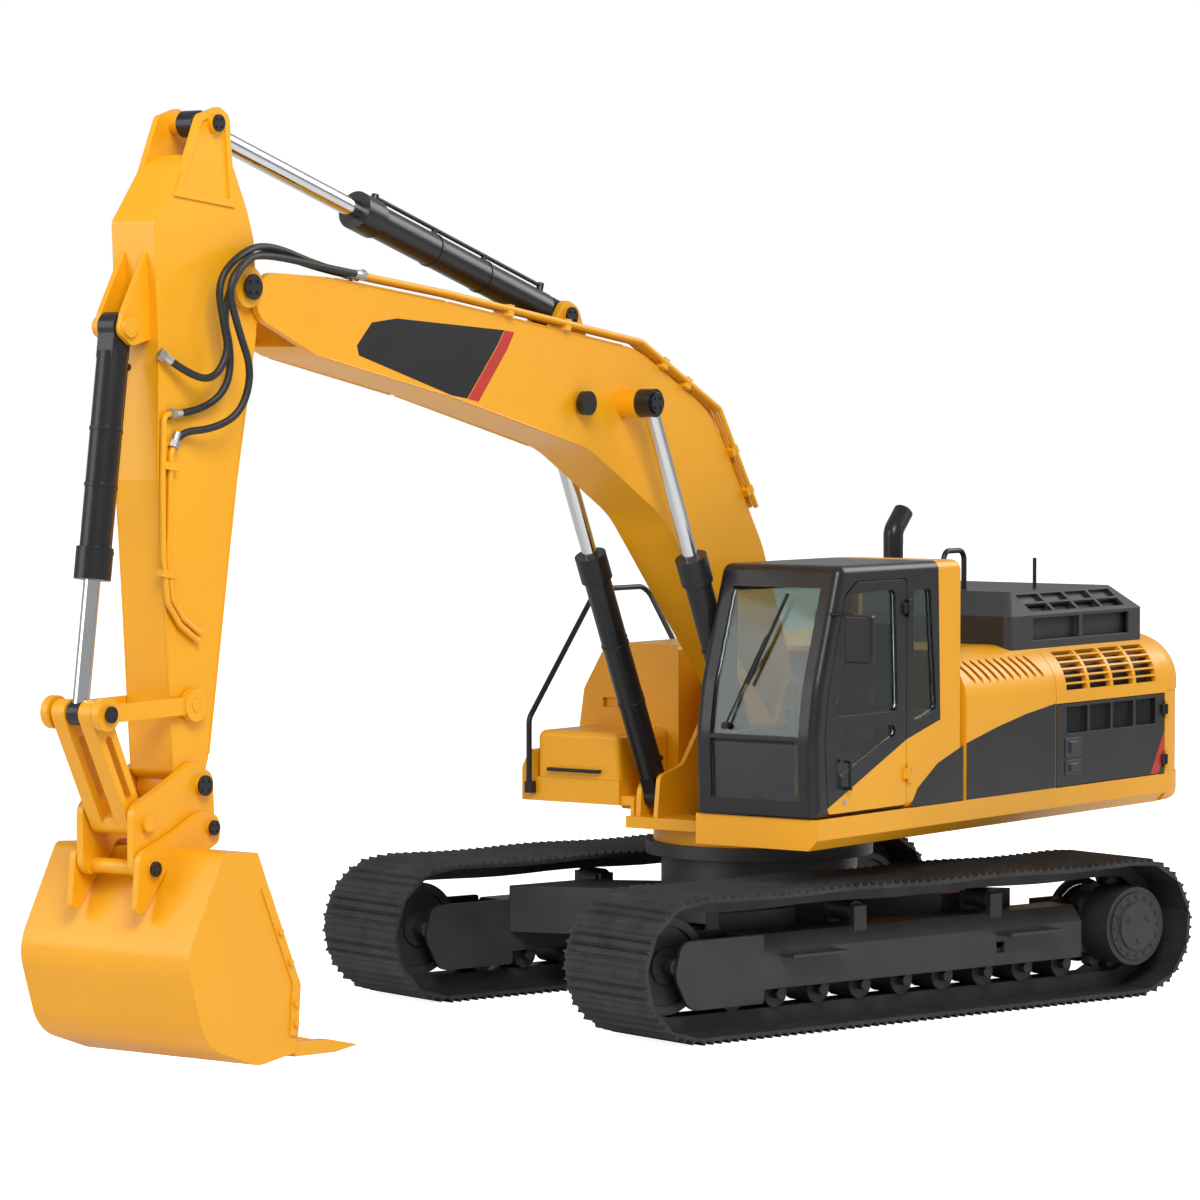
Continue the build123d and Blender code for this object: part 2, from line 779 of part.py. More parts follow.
def engine_hood():
    """Black hood over the engine: sloped sides, grille windows on its left, hinge barrels at its front."""
    body = hood_shape(0) - hood_shape(hood_wall)
    body -= across(bay_face(-seat_gap, deck_top), hood_rear - 50, hood_front + 50)
    for x0, x1 in hood_side_vents:
        body -= block(x0, x1, hood_left - 60, hood_left + 10, bay_top + 18, hood_waist - 25)
    rise = hood_top - hood_waist
    run = hood_left - hood_crown[2]
    lean = 180 - degrees(atan2(rise, run))
    pitch = (hood_side_vents[0][1] - hood_side_vents[-1][0]) / vent_columns
    for column in range(vent_columns):
        x = hood_side_vents[-1][0] + (column + 0.5) * pitch
        for share in (0.3, 0.7):
            place = Pos(x, hood_left - run * share, hood_waist + rise * share) * Rot(lean, 0, 0)
            body -= place * Box(pitch - vent_rib, hypot(rise, run) * 0.32, 60)
    for y0 in (hood_right + 100, hood_crown[2] - 400):
        body += disc((hood_front, hood_axis), hood_barrel, y0, y0 + 300)
    return body


def tank_face():
    """Cross-section of the tank, narrower towards its top."""
    return outline([
        (-1440, deck_top + seat_gap, 0), (-1425, 1854, 0), (-1385, 2120, 90), (-1216, 2402, 70), (-1090, tank_top, 0),
        (tank_inner, tank_top, 40), (tank_inner, deck_top + seat_gap, 0),
    ])


def tank():
    """Fuel and hydraulic tank behind the storage box."""
    body = across(tank_face(), tank_rear, tank_front)
    body -= across(offset(tank_face(), -tank_wall), tank_rear + tank_wall, tank_front - tank_wall)
    return body - block(tank_front - 30, tank_front + 5, -1216, -960, 1990, 2058)


def storage_box():
    """Open-topped locker in front of the tank, with a sloped outer cheek and a skin over the deck's front edge."""
    rear = tank_front + store_gap
    outer = block(rear, box_front, -deck_half, store_inner, deck_top + seat_gap, store_split)
    inner = block(
        rear + store_wall, box_front - store_wall, -deck_half + store_wall, store_inner - store_wall,
        deck_top + 1 + store_wall, store_top,
    )
    apron = block(box_front - store_wall, box_front, -deck_half, store_inner, box_deck, deck_top + 10)
    edge = store_cheek - store_gap
    face = outline([
        (-deck_half, store_split - store_wall, 0), (edge, store_split - store_wall, 0), (edge, store_top - 50, 30),
        (-deck_half, 1590, 60),
    ])
    cheek = across(face, rear, box_front) - across(offset(face, -store_wall), rear + store_wall, box_front - store_wall)
    return outer - inner + apron + cheek


def storage_lid():
    """Deep lid of the storage box inside the handrail, hinged along its upper rear edge."""
    rear = tank_front + store_gap
    low = store_split + seat_gap
    face = outline([
        (store_cheek, low, 0), (store_inner, low, 0), (store_inner, store_top, 60), (store_cheek, store_top, 60),
    ])
    body = across(face, rear, box_front)
    front = body.edges().filter_by(lambda e: e.center().X > box_front - 1 and e.center().Z > low + 20)
    body = fillet(front, 45)
    body -= across(offset(face, -store_wall), rear + store_wall, box_front - 50)
    body -= block(rear + store_wall, box_front - 50, store_cheek + 30, store_inner - 30, low - 5, low + 60)
    return body + disc((rear, store_top), store_hinge, -deck_half + 250, store_inner - 100)


def cab_side(inset):
    """The cab seen from the side."""
    radius = max(cab_corner - inset, 20)
    low = deck_top + seat_gap + inset
    return outline([
        (cab_rear + inset, low, 20), (cab_front - inset, low, 20), (cab_belly - inset, cab_waist, 700),
        (cab_knee_x - inset, cab_knee, 700), (cab_brow - inset, cab_top - inset, radius),
        (cab_rear + inset, cab_top - inset, radius),
    ])


def rear_region(grow):
    """The part of the cab's side behind the slanted line, where the yellow rear pillar stands."""
    return Polygon(
        (cab_rear - 100, deck_top - 50), (door_rear + grow, deck_top - 50), (door_rear + grow, 1890 + grow),
        (grow, 2000 + grow), (34 + grow, cab_top + 100), (cab_rear - 100, cab_top + 100), align=None,
    )


def door_face(inset):
    """The doorway seen from the side, and the door when drawn inset."""
    return outline([
        (door_rear + inset, door_low + inset, 25), (door_front - 40 - inset, door_low + inset, 40),
        (door_front - inset, cab_waist, 700), (door_front - 51 - inset, 2284, 700),
        (1202 - inset, 2899 - inset, 100), (1060 - inset, door_high - inset, 100),
        (door_rear + inset, door_high - inset, 40),
    ])


def door_windows(inset):
    """The two windows of the door, drawn smaller by an inset for their panes."""
    upper = outline([(1126, 2897, 50), (578, 2911, 50), (541, 2089, 50), (1332, 2092, 50)])
    lower = outline([(1293, 1671, 50), (1263, 2006, 50), (578, 1999, 50), (566, 1932, 30)])
    return [offset(face, -inset) if inset else face for face in (upper, lower)]


def screen_blocks(inset):
    """The two openings of the windscreen, as blocks that cut the cab's front."""
    low, high = cab_inner + cab_post + inset, deck_half - cab_post - inset
    parts = []
    for z0, z1 in screen_levels:
        parts.append(block(cab_brow - 120, cab_belly + 50, low, high, z0 + inset, z1 - inset))
    return parts


def quarter_window(inset):
    """The fixed side window behind the door."""
    face = outline([(346, 2894, 40), (130, 2904, 40), (50, 2079, 40), (346, 2002, 40)])
    return offset(face, -inset) if inset else face


def cab_whole():
    """Hollow cab with its rounded edges, its windows and its doorway cut."""
    shell = slab(cab_side(0), cab_inner, deck_half)
    rims = shell.edges().filter_by(lambda e: abs(abs(e.center().Y - cab_middle) - cab_half) < 1)
    shell = fillet(rims.filter_by(lambda e: e.center().Z > deck_top + 30), cab_edge)
    shell -= slab(cab_side(cab_wall), cab_inner + cab_wall, deck_half - cab_wall)
    for opening in screen_blocks(0):
        shell -= opening
    shell -= slab(door_face(0), deck_half - cab_wall - 10, deck_half + 10)
    shell -= slab(quarter_window(0), deck_half - cab_wall - 10, deck_half + 10)
    shell -= block(cab_rear + 200, cab_brow - 120, cab_inner - 10, cab_inner + cab_wall + 10, 1950, 2900)
    low, high = cab_inner + cab_post, deck_half - cab_post
    shell -= block(cab_rear - 10, cab_rear + cab_wall + 10, low, high, 2050, 2900)
    return shell


def cab_hinge(level):
    """Fixed half of one of the cab door's hinges."""
    return hinge_pin(door_rear + 4, deck_half + hinge_offset, level, door_rear - 30, deck_half - 10)


def cab_shell(whole):
    """Black front part of the cab, with its mirror on an arm."""
    body = whole - slab(rear_region(seat_gap), cab_inner - 100, deck_half + 100)
    x, y, z = mirror_place
    arm = tube([(x - 90, deck_half - 25, z + 150), (x, y - 60, z + 165), (x, y, z + 100)], mirror_arm, 30)
    head = Pos(x, y, z) * fillet(Box(60, 215, 320).edges(), 18)
    return body + arm + head + cab_hinge(cab_hinge_heights[1])


def cab_rear_part(whole):
    """Yellow rear pillar of the cab with the lower wall behind the door."""
    return (whole & slab(rear_region(0), cab_inner - 100, deck_half + 100)) + cab_hinge(cab_hinge_heights[0])


def door_region(drop):
    """The part of the door below the slanted line."""
    return Polygon(
        (door_rear - 100, 1932 - drop), (door_rear - 100, door_low - 50), (door_front + 100, door_low - 50),
        (door_front + 100, 1430 - drop), align=None,
    )


def cab_door():
    """The whole cab door with its windows cut and its knuckles on."""
    face = slab(door_face(door_gap), deck_half - door_panel, deck_half)
    for window in door_windows(0):
        face -= slab(window, deck_half - 100, deck_half + 10)
    for z in cab_hinge_heights:
        face += hinge_knuckle(door_rear + 4, deck_half + hinge_offset, z, door_rear + 55, deck_half - 3)
    return face


def door_glass():
    """Panes in the cab door."""
    return [slab(window, deck_half - 35, deck_half - 35 + glass) for window in door_windows(seat_gap)]


def cab_glass():
    """The fixed panes: rear, right, rear quarter and the two of the windscreen."""
    low, high = cab_inner + cab_post + seat_gap, deck_half - cab_post - seat_gap
    parts = [
        block(cab_rear + 20, cab_rear + 20 + glass, low, high, 2050 + seat_gap, 2900 - seat_gap),
        block(
            cab_rear + 200 + seat_gap, cab_brow - 120 - seat_gap, cab_inner + 20, cab_inner + 20 + glass,
            1950 + seat_gap, 2900 - seat_gap,
        ),
        slab(quarter_window(seat_gap), deck_half - 35, deck_half - 35 + glass),
    ]
    pane = slab(cab_side(25), cab_inner, deck_half) - slab(cab_side(25 + glass), cab_inner - 5, deck_half + 5)
    return parts + [pane & opening for opening in screen_blocks(seat_gap)]


cab_floor = deck_top + cab_wall + 2 * seat_gap
cab_middle = (cab_inner + deck_half) / 2
cab_half = (deck_half - cab_inner) / 2


def seat():
    """Operator's seat: cushion, back and pedestal."""
    y = (cab_inner + deck_half) / 2
    body = block(60, 560, y - 250, y + 250, 1880, 2000)
    body += block(40, 190, y - 240, y + 240, 1990, 2650)
    body += block(150, 450, y - 150, y + 150, cab_floor, 1890)
    return body


def console():
    """Control consoles with their levers."""
    y = (cab_inner + deck_half) / 2
    parts = []
    for side in (-1, 1):
        box = block(150, 650, y + side * 262, y + side * 350, 1900, 2080)
        box += block(250, 400, y + side * 270, y + side * 340, cab_floor, 1910)
        parts.append(box + post(600, y + side * 306, 18, 2070, 2250))
    return parts


def exhaust():
    """Bent exhaust stack."""
    x, y = exhaust_place
    points = [(x, y, bay_top + seat_gap), (x, y, exhaust_top), (x - 141, y, exhaust_top + 141)]
    return tube(points, exhaust_radius, 100)


def handrail():
    """Rail over the storage box and the tank, footed on the box's front and on the tank's shoulder."""
    points = [
        (rail_x, rail_y, 1450), (rail_x, rail_y, 1935), (20, rail_y, rail_top), (-600, rail_y, rail_top),
        (-600, -1100, 2340),
    ]
    body = tube(points, rail_radius, 90)
    body -= across(offset(tank_face(), seat_gap), tank_rear, tank_front)
    foot = block(box_front + seat_gap, rail_x + 15, rail_y - 30, rail_y + 30, 1410, 1490)
    return body + foot


def hood_rail():
    """Grab loop and marker post on the hood's top."""
    level = hood_top + seat_gap
    points = [(-1790, 580, level), (-1790, 580, level + 280), (-1510, 580, level + 280), (-1510, 580, level)]
    return [tube(points, rail_radius, 70), post(-2200, 930, 14, level, level + 220)]


# Front
boom_tip = turned((boom_length, 0), boom_rest_angle, boom_foot)
stick_tip = turned((stick_length, 0), stick_rest_angle, boom_tip)
boom_place = Pos(boom_foot[0], 0, boom_foot[1]) * Rot(0, -boom_rest_angle, 0)
stick_place = Pos(boom_tip[0], 0, boom_tip[1]) * Rot(0, -stick_rest_angle, 0)
bucket_place = Pos(stick_tip[0], 0, stick_tip[1])


def hollow(face, plate, half):
    """A box of plates: the face's outline, closed on both sides."""
    return slab(face, -half, half) - slab(offset(face, -plate), plate - half, half - plate)


def boom():
    """Box boom with a bend at its middle, its foot, bosses, and the fork at its tip."""
    half = boom_width / 2
    tip = boom_length
    profile = outline([
        (-60, 175, 0), (750, 880, 400), (1700, 1440, 900), (2700, 1440, 900), (4680, 790, 0),
        (tip - 640, 392, 200), (tip - 100, 150, 150), (tip - 40, -140, 150),
        (tip - 740, -90, 200), (4424, 260, 0), (2900, 610, 900), (1950, 560, 800), (60, -180, 0),
    ])
    body = hollow(profile, boom_plate, half)
    body += disc((0, 0), boom_foot_boss, -boom_foot_width / 2, boom_foot_width / 2)
    body -= disc((0, 0), boom_foot_pin + eye_clearance, -boom_foot_width, boom_foot_width)
    slot = block(tip - tip_fork_depth, tip + 300, -tip_fork_gap / 2, tip_fork_gap / 2, -500, 600)
    end_plate = block(tip - tip_fork_depth - 40, tip - tip_fork_depth, 10 - half, half - 10, -100, 320)
    body = body + end_plate - slot
    for side in (-1, 1):
        low, high = sorted((side * tip_fork_gap / 2, side * half))
        body += disc((tip, 0), tip_boss, low, high)
        low, high = sorted((side * (half - 5), side * (lift_centre - lift_eye_width / 2 - ear_gap)))
        body += disc(lift_on_boom, 100, low, high)
    body += disc((tip, 0), tip_pin, -half - 25, half + 25)
    x, z = stick_foot_on_boom
    ear = outline([
        (x - 420, z - 190, 0), (x - 60, z + 95, 90), (x + 90, z + 85, 80), (x + 125, z - 60, 40),
        (x + 150, z - 170, 0),
    ])
    near = crowd_eye_width / 2 + ear_gap
    for side in (-1, 1):
        low, high = sorted((side * near, side * (near + 45)))
        body += slab(ear, low, high)
    return body + disc(stick_foot_on_boom, crowd_pin, -130, 130)


def stick():
    """Box stick: side plates that run on to the crowd pin, ears for the bucket cylinder, boss at its tip."""
    half = stick_width / 2
    tip = stick_length
    profile = outline([
        (-700, 200, 60), (-700, 560, 40), (-616, 646, 60), (-243, 850, 60), (480, 700, 0), (1250, 585, 0),
        (2032, 400, 0), (tip - 40, 190, 60), (tip + 60, -60, 60), (tip - 160, -110, 60),
        (1157, -115, 0), (178, -165, 100), (-290, -60, 150), (-457, 28, 60),
    ])
    body = hollow(profile, stick_plate, half)
    body += disc((0, 0), 150, -half, half)
    body -= disc((0, 0), tip_pin + eye_clearance, -half - 10, half + 10)
    body += disc((tip, 0), stick_tip_boss, -half, half)
    body -= disc((tip, 0), stick_tip_pin + eye_clearance, -half - 10, half + 10)
    head = outline([
        (-1019, 389, 60), (-985, 289, 60), (-626, 196, 40), (-452, 150, 0), (-420, 700, 0), (-616, 646, 60),
        (-935, 560, 60),
    ])
    side_ear = outline([
        (-110, 800, 0), (320, 965, 90), (440, 985, 70), (500, 860, 60), (430, 690, 0), (480, 640, 0), (0, 700, 0),
    ])
    for side in (-1, 1):
        low, high = sorted((side * (half - head_plate), side * (half + head_rim)))
        plate = slab(head, low, high)
        low, high = sorted((side * half, side * (half + head_rim + 5)))
        plate -= slab(offset(head, -head_border), low, high)
        body += plate
        low, high = sorted((side * (crowd_eye_width / 2 + ear_gap), side * (half + head_rim + 25)))
        body += disc(crowd_on_stick, 60, low, high)
        near = curl_foot_width / 2 + ear_gap
        low, high = sorted((side * near, side * (near + 35)))
        body += slab(side_ear, low, high)
        low, high = sorted((side * near, side * (near + 60)))
        body += disc(curl_on_stick, 62, low, high)
    body += disc(curl_on_stick, curl_pin, -130, 130)
    return body + disc(idler_on_stick, link_pin, -half - 60, half + 60)


def boom_lamp():
    """Round work lamp on the boom's left side."""
    x, z = lamp_on_boom
    low = boom_width / 2 + seat_gap
    stem = disc((x, z), 25, low, low + 30)
    return stem + disc((x, z), 80, low + 30, low + 80)


def top_normal(start, stop):
    """Unit vectors along and away from one straight run of the boom's top."""
    along = Vector(stop[0] - start[0], stop[1] - start[1]).normalized()
    return along, Vector(-along.Y, along.X)


def boom_lines():
    """Steel tubes along the boom's top with their clamps, drawn in the boom's own frame."""
    runs = [(boom_crest[i], boom_crest[i + 1]) for i in range(len(boom_crest) - 1)]
    corners = []
    for index, (start, stop) in enumerate(runs):
        along, away = top_normal(start, stop)
        if index == 0:
            first = Vector(*start) + along * 300 + away * line_lift
            corners.append((first.X, first.Y))
        else:
            mean = (away + top_normal(*runs[index - 1])[1]).normalized()
            bend = Vector(*start) + mean * line_lift
            corners.append((bend.X, bend.Y))
    start, stop = runs[-1]
    away = top_normal(start, stop)[1]
    last = Vector(*start) + (Vector(*stop) - Vector(*start)) * line_end + away * line_lift
    corners[-1:] = [corners[-1], (last.X, last.Y)]
    body = None
    for side in line_sides:
        line = tube([(x, side, z) for x, z in corners], line_radius, line_bend)
        body = line if body is None else body + line
    for start, stop in runs[:-1]:
        along, away = top_normal(start, stop)
        for share in (0.4, 0.7):
            spot = Vector(*start) + (Vector(*stop) - Vector(*start)) * share
            angle = degrees(atan2(along.Y, along.X))
            place = Pos(spot.X, 0, spot.Y) * Rot(0, -angle, 0)
            body += place * block(-28, 28, 135, 262, seat_gap, line_lift + 25)
    return body


def hose_lead(side):
    """The straight start of a hose, in line with the tube that it leaves on the boom."""
    start, stop = boom_crest[-2:]
    along, away = top_normal(start, stop)
    last = Vector(*start) + (Vector(*stop) - Vector(*start)) * line_end + away * line_lift
    points = []
    for spot in (last + along * seat_gap, last + along * hose_run):
        x, z = turned((spot.X, spot.Y), boom_rest_angle, boom_foot)
        points.append((x, side, z))
    return points


def stick_lines():
    """Two steel tubes down the stick's left side with their clamps, drawn in the stick's own frame."""
    side = stick_width / 2
    body = None
    for points in stick_line_paths:
        line = tube([(x, line_side, z) for x, z in points], line_radius, 50)
        body = line if body is None else body + line
    for x, z in ((1161, 540), (1790, 465)):
        body += block(x - 22, x + 22, side + seat_gap, line_side + 22, z - 75, z + 50)
    return body


def hose(points):
    """A rubber hose in straight runs with a wide bend at each corner."""
    spots = [Vector(*point) for point in points]
    radii = []
    for before, here, after in zip(spots, spots[1:], spots[2:]):
        back, onward = before - here, after - here
        half_turn = radians(180 - back.get_angle(onward)) / 2
        radii.append(0.45 * min(back.length, onward.length) / tan(half_turn))
    line = FilletPolyline(*points, radius=radii)
    plane = Plane(origin=spots[0], z_dir=spots[1] - spots[0])
    return sweep(plane * Circle(hose_radius), path=line)


def barrel(length, radius, pin, width, neck):
    """Cylinder barrel with its foot eye at the origin and its gland at the far end."""
    along = Plane(origin=(neck, 0, 0), z_dir=(1, 0, 0))
    tube = extrude(along * Circle(radius), amount=length - neck)
    head = Plane(origin=(length - 190, 0, 0), z_dir=(1, 0, 0))
    tube += extrude(head * Circle(radius + 18), amount=190)
    lug = block(0, neck + 40, -width / 2, width / 2, -radius * 0.8, radius * 0.8)
    tube += disc((0, 0), radius - 5, -width / 2, width / 2) + lug
    return tube - disc((0, 0), pin + eye_clearance, -width, width)


def bored(shape, start, length, radius):
    """Cut the bore that the rod slides in."""
    along = Plane(origin=(start, 0, 0), z_dir=(1, 0, 0))
    return shape - extrude(along * Circle(radius), amount=length)


def rod(reach, back, radius, eye, width):
    """Piston rod from inside the barrel to its eye."""
    along = Plane(origin=(back, 0, 0), z_dir=(1, 0, 0))
    bar = extrude(along * Circle(radius), amount=reach - back)
    return bar + disc((reach, 0), eye, -width / 2, width / 2)


def between(foot, eye):
    """Length and angle from one pin to another."""
    return hypot(eye[0] - foot[0], eye[1] - foot[1]), degrees(atan2(eye[1] - foot[1], eye[0] - foot[0]))


def save_cylinder(name, foot, eye, barrel_sizes, rod_sizes, offsets):
    """Write the barrel and the rod of each cylinder of a kind."""
    reach, angle = between(foot, eye)
    length, radius, pin, width, neck = barrel_sizes
    rod_radius, eye_radius, eye_width = rod_sizes
    for suffix, y in offsets:
        place = Pos(foot[0], y, foot[1]) * Rot(0, -angle, 0)
        tube = bored(barrel(length, radius, pin, width, neck), neck + 60, length, rod_radius + rod_clearance)
        save(f"{name}_barrel{suffix}", place * tube)
        bar = rod(reach, reach - length + rod_inside, rod_radius, eye_radius, eye_width)
        save(f"{name}_rod{suffix}", place * bar)


def idler_links():
    """The pair of side links from the stick to the meeting pin, waisted between round bosses."""
    place = turned(idler_on_stick, stick_rest_angle, boom_tip)
    meet = (stick_tip[0] + link_meet[0], stick_tip[1] + link_meet[1])
    parts = []
    for side in (-1, 1):
        low, high = sorted((side * (stick_width / 2 + 8), side * (stick_width / 2 + 48)))
        link = slab(make_hull([*(Pos(*place) * Circle(52)).edges(), *(Pos(*meet) * Circle(52)).edges()]), low, high)
        far = side * (stick_width / 2 + 58)
        near, wide = sorted((side * (stick_width / 2 + 8), far))
        link += disc(place, 98, near, wide) + disc(meet, 98, near, wide)
        link -= disc(place, link_pin + eye_clearance, near - 5, wide + 5)
        low, high = sorted((side * (h_window + 2), side * (stick_width / 2 + 75)))
        parts.append(link + disc(meet, link_pin, low, high))
    return parts


def h_link():
    """Link from the meeting pin to the coupler, two slotted side plates and a tube."""
    meet = (stick_tip[0] + link_meet[0], stick_tip[1] + link_meet[1])
    pin = (stick_tip[0] + coupler_link_pin[0], stick_tip[1] + coupler_link_pin[1])
    half = h_half
    face = make_hull([*(Pos(*meet) * Circle(80)).edges(), *(Pos(*pin) * Circle(70)).edges()])
    body = slab(face, -half, half)
    body -= slab(face, -h_window, h_window)
    middle = ((meet[0] + pin[0]) / 2, (meet[1] + pin[1]) / 2)
    length, angle = between(pin, meet)
    slot = Pos(*middle) * Rot(0, 0, angle) * SlotOverall(length - 300, 50)
    body -= slab(slot, -half - 5, half + 5)
    body += disc(pin, 70, -half, half)
    return body - disc(meet, link_pin + eye_clearance, -half - 5, half + 5)


def coupler():
    """Quick coupler: two cheek plates with the tip pin, the link pin and the two bucket pins."""
    parts = None
    for side in (-1, 1):
        low, high = sorted((side * (stick_width / 2 + 8), side * (stick_width / 2 + 58)))
        face = outline([
            (-110, 60, 80), (60, 150, 90), (360, 10, 100), (600, -90, 90), (600, -500, 90), (430, -520, 60),
            (300, -320, 60), (-130, -330, 80),
        ])
        cheek = slab(face, low, high)
        parts = cheek if parts is None else parts + cheek
    reach = stick_width / 2 + 60
    parts += disc((0, 0), stick_tip_pin, -reach - 30, reach + 30)
    parts += disc(coupler_front_pin, coupler_pin, -bucket_ear_far - 20, bucket_ear_far + 20)
    parts += disc(coupler_rear_pin, coupler_pin, -bucket_ear_far - 20, bucket_ear_far + 20)
    for side in (-1, 1):
        low, high = sorted((side * (h_half + 8), side * (reach + 30)))
        parts += disc(coupler_link_pin, 50, low, high)
    return bucket_place * parts


bucket_ear_near = stick_width / 2 + 66
bucket_ear_far = bucket_ear_near + 45


def bucket_back():
    """The wrapper's outer line from the hinge end round the back to the lip."""
    return [
        (-4, -376, 0), (300, -355, 60), (640, -960, 300), (470, -1480, 300), (0, -1640, 250), (-354, -1597, 0),
    ]


def bucket():
    """Bucket with its wrapper, side plates and ears."""
    outer = bucket_back()
    side_face = outline(outer + [(-382, -1190, 0)])
    shrunk = offset(outline(outer + [(-382, -1190, 0)]), -bucket_wall)
    mouth = Polygon(
        (-900, -1190), (-360, -1564), (0, -1560), (300, -376 - bucket_wall), (-4, -376 - bucket_wall), align=None,
    )
    body = slab(side_face, -bucket_half, bucket_half)
    for face in (shrunk, mouth):
        body -= slab(face, bucket_wall - bucket_half, bucket_half - bucket_wall)
    for side in (-1, 1):
        low, high = sorted((side * bucket_ear_near, side * bucket_ear_far))
        face = outline([
            (-110, -180, 80), (60, -150, 80), (300, -260, 100), (600, -360, 80), (640, -740, 40), (560, -700, 0),
            (280, -370, 0), (0, -385, 0), (-110, -340, 60),
        ])
        ear = slab(face, low, high)
        for pin in (coupler_front_pin, coupler_rear_pin):
            ear -= disc(pin, coupler_pin + eye_clearance, low - 5, high + 5)
        body += ear
    return bucket_place * body


def bucket_teeth():
    """Five teeth along the lip."""
    parts = []
    for index in range(5):
        y = (index - 2) * (bucket_half - 60) / 2
        face = Polygon(
            (-700, -1560), (-959, -1618), (-740, -1640), (-354.6, -1625), (-354.6, -1597), (-358.5, -1535),
            align=None,
        )
        parts.append(bucket_place * slab(face, y - 45, y + 45))
    return parts


def main():
    """Build and write every sub-part."""
    os.makedirs("parts", exist_ok=True)
    for name, side in (("left", 1), ("right", -1)):
        save(f"track_{name}", undercarriage(track(side)))
        save(f"final_drive_{name}", undercarriage(final_drive(side)))
        save(f"idler_{name}", undercarriage(idler(side)))
        save(f"rollers_{name}", undercarriage(Compound(children=rollers(side))))
        save(f"track_frame_{name}", undercarriage(track_frame(side)))
    save("car_body", undercarriage(car_body()))
    save("swing_ring", undercarriage(swing_ring()))
    save("revolving_frame", revolving_frame())
    save("counterweight", counterweight())
    save("engine_housing", engine_housing())
    save("engine_block", block(engine_rear, engine_front, -engine_half, engine_half, deck_top + seat_gap, engine_top))
    save("engine_hood", engine_hood())
    save("hood_rail", Compound(children=hood_rail()))
    save("side_door_rear", side_panel(1, deck_rear + 8, door_split - door_gap / 2, deck_rear + 8))
    save("pump_door", side_panel(-1, deck_rear + 8, pump_split - door_gap / 2, deck_rear + 8))
    save("tank", tank())
    save("storage_box", storage_box())
    save("storage_lid", storage_lid())
    save("exhaust", exhaust())
    save("handrail", handrail())
    cab = cab_whole()
    save("cab_shell", cab_shell(cab))
    save("cab_rear", cab_rear_part(cab))
    save("cab_glass", Compound(children=cab_glass()))
    door = cab_door()
    save("cab_door", door - slab(door_region(0), deck_half - 200, deck_half + 100))
    save("door_panel", door & slab(door_region(seat_gap), deck_half - 200, deck_half + 100))
    save("door_glass", Compound(children=door_glass()))
    save("seat", seat())
    save("console", Compound(children=console()))
    save("boom", boom_place * boom())
    save("boom_lamp", boom_place * boom_lamp())
    save("boom_lines", boom_place * boom_lines())
    save("stick", stick_place * stick())
    save("stick_lines", stick_place * stick_lines())
    for name, side, bends in zip("abc", line_sides, hose_bends):
        save(f"hose_{name}", hose([*hose_lead(side), *bends]))
    lift_eye = turned(lift_on_boom, boom_rest_angle, boom_foot)
    save_cylinder(
        "boom_cylinder", lift_foot, lift_eye, (lift_barrel, lift_bore, lift_pin, lift_eye_width, 170),
        (lift_rod, 95, lift_eye_width), (("_left", lift_centre), ("_right", -lift_centre)),
    )
    crowd_foot = turned(stick_foot_on_boom, boom_rest_angle, boom_foot)
    crowd_eye = turned(crowd_on_stick, stick_rest_angle, boom_tip)
    save_cylinder(
        "stick_cylinder", crowd_foot, crowd_eye, (crowd_barrel, crowd_bore, crowd_pin, crowd_eye_width, 170),
        (crowd_rod, 80, crowd_eye_width), (("", 0),),
    )
    curl_foot = turned(curl_on_stick, stick_rest_angle, boom_tip)
    meet = (stick_tip[0] + link_meet[0], stick_tip[1] + link_meet[1])
    save_cylinder(
        "bucket_cylinder", curl_foot, meet, (curl_barrel, curl_bore, curl_pin, curl_foot_width, 150),
        (curl_rod, 72, curl_eye_width), (("", 0),),
    )
    save("idler_links", Compound(children=idler_links()))
    save("h_link", h_link())
    save("coupler", coupler())
    save("bucket", bucket())
    save("bucket_teeth", Compound(children=bucket_teeth()))


main()
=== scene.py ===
import bpy
import bmesh
import json
from math import atan, atan2, cos, pi, radians, sin
from mathutils import Matrix, Vector


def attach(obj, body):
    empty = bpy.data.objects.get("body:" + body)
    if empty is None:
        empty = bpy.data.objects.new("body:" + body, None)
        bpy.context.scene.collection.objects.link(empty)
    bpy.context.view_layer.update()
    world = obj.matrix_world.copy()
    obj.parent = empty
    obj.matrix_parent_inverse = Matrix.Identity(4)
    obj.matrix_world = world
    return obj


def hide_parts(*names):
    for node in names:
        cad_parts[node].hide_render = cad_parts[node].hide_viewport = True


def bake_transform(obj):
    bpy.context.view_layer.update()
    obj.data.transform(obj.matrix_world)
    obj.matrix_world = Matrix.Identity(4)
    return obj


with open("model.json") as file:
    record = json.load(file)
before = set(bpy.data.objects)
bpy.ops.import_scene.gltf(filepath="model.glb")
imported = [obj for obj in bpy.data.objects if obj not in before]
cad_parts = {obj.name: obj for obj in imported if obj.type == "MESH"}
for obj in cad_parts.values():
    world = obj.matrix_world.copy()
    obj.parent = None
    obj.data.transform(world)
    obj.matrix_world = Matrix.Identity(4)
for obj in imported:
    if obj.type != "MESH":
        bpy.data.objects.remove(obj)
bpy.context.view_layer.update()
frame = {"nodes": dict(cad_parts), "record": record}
nodes = frame["nodes"]
scene = bpy.context.scene
print("frame loaded:", len(nodes), "nodes")

# camera, standing where the picture was taken from; rows and columns count from the picture's top left
shot = {"azimuth": 33.97, "distance": 33.23, "height": 4.29, "focal": 4735.7, "horizonRow": 384.5,
        "axisColumn": 759.7, "width": 1200, "sensor": 36, "farthest": 300}


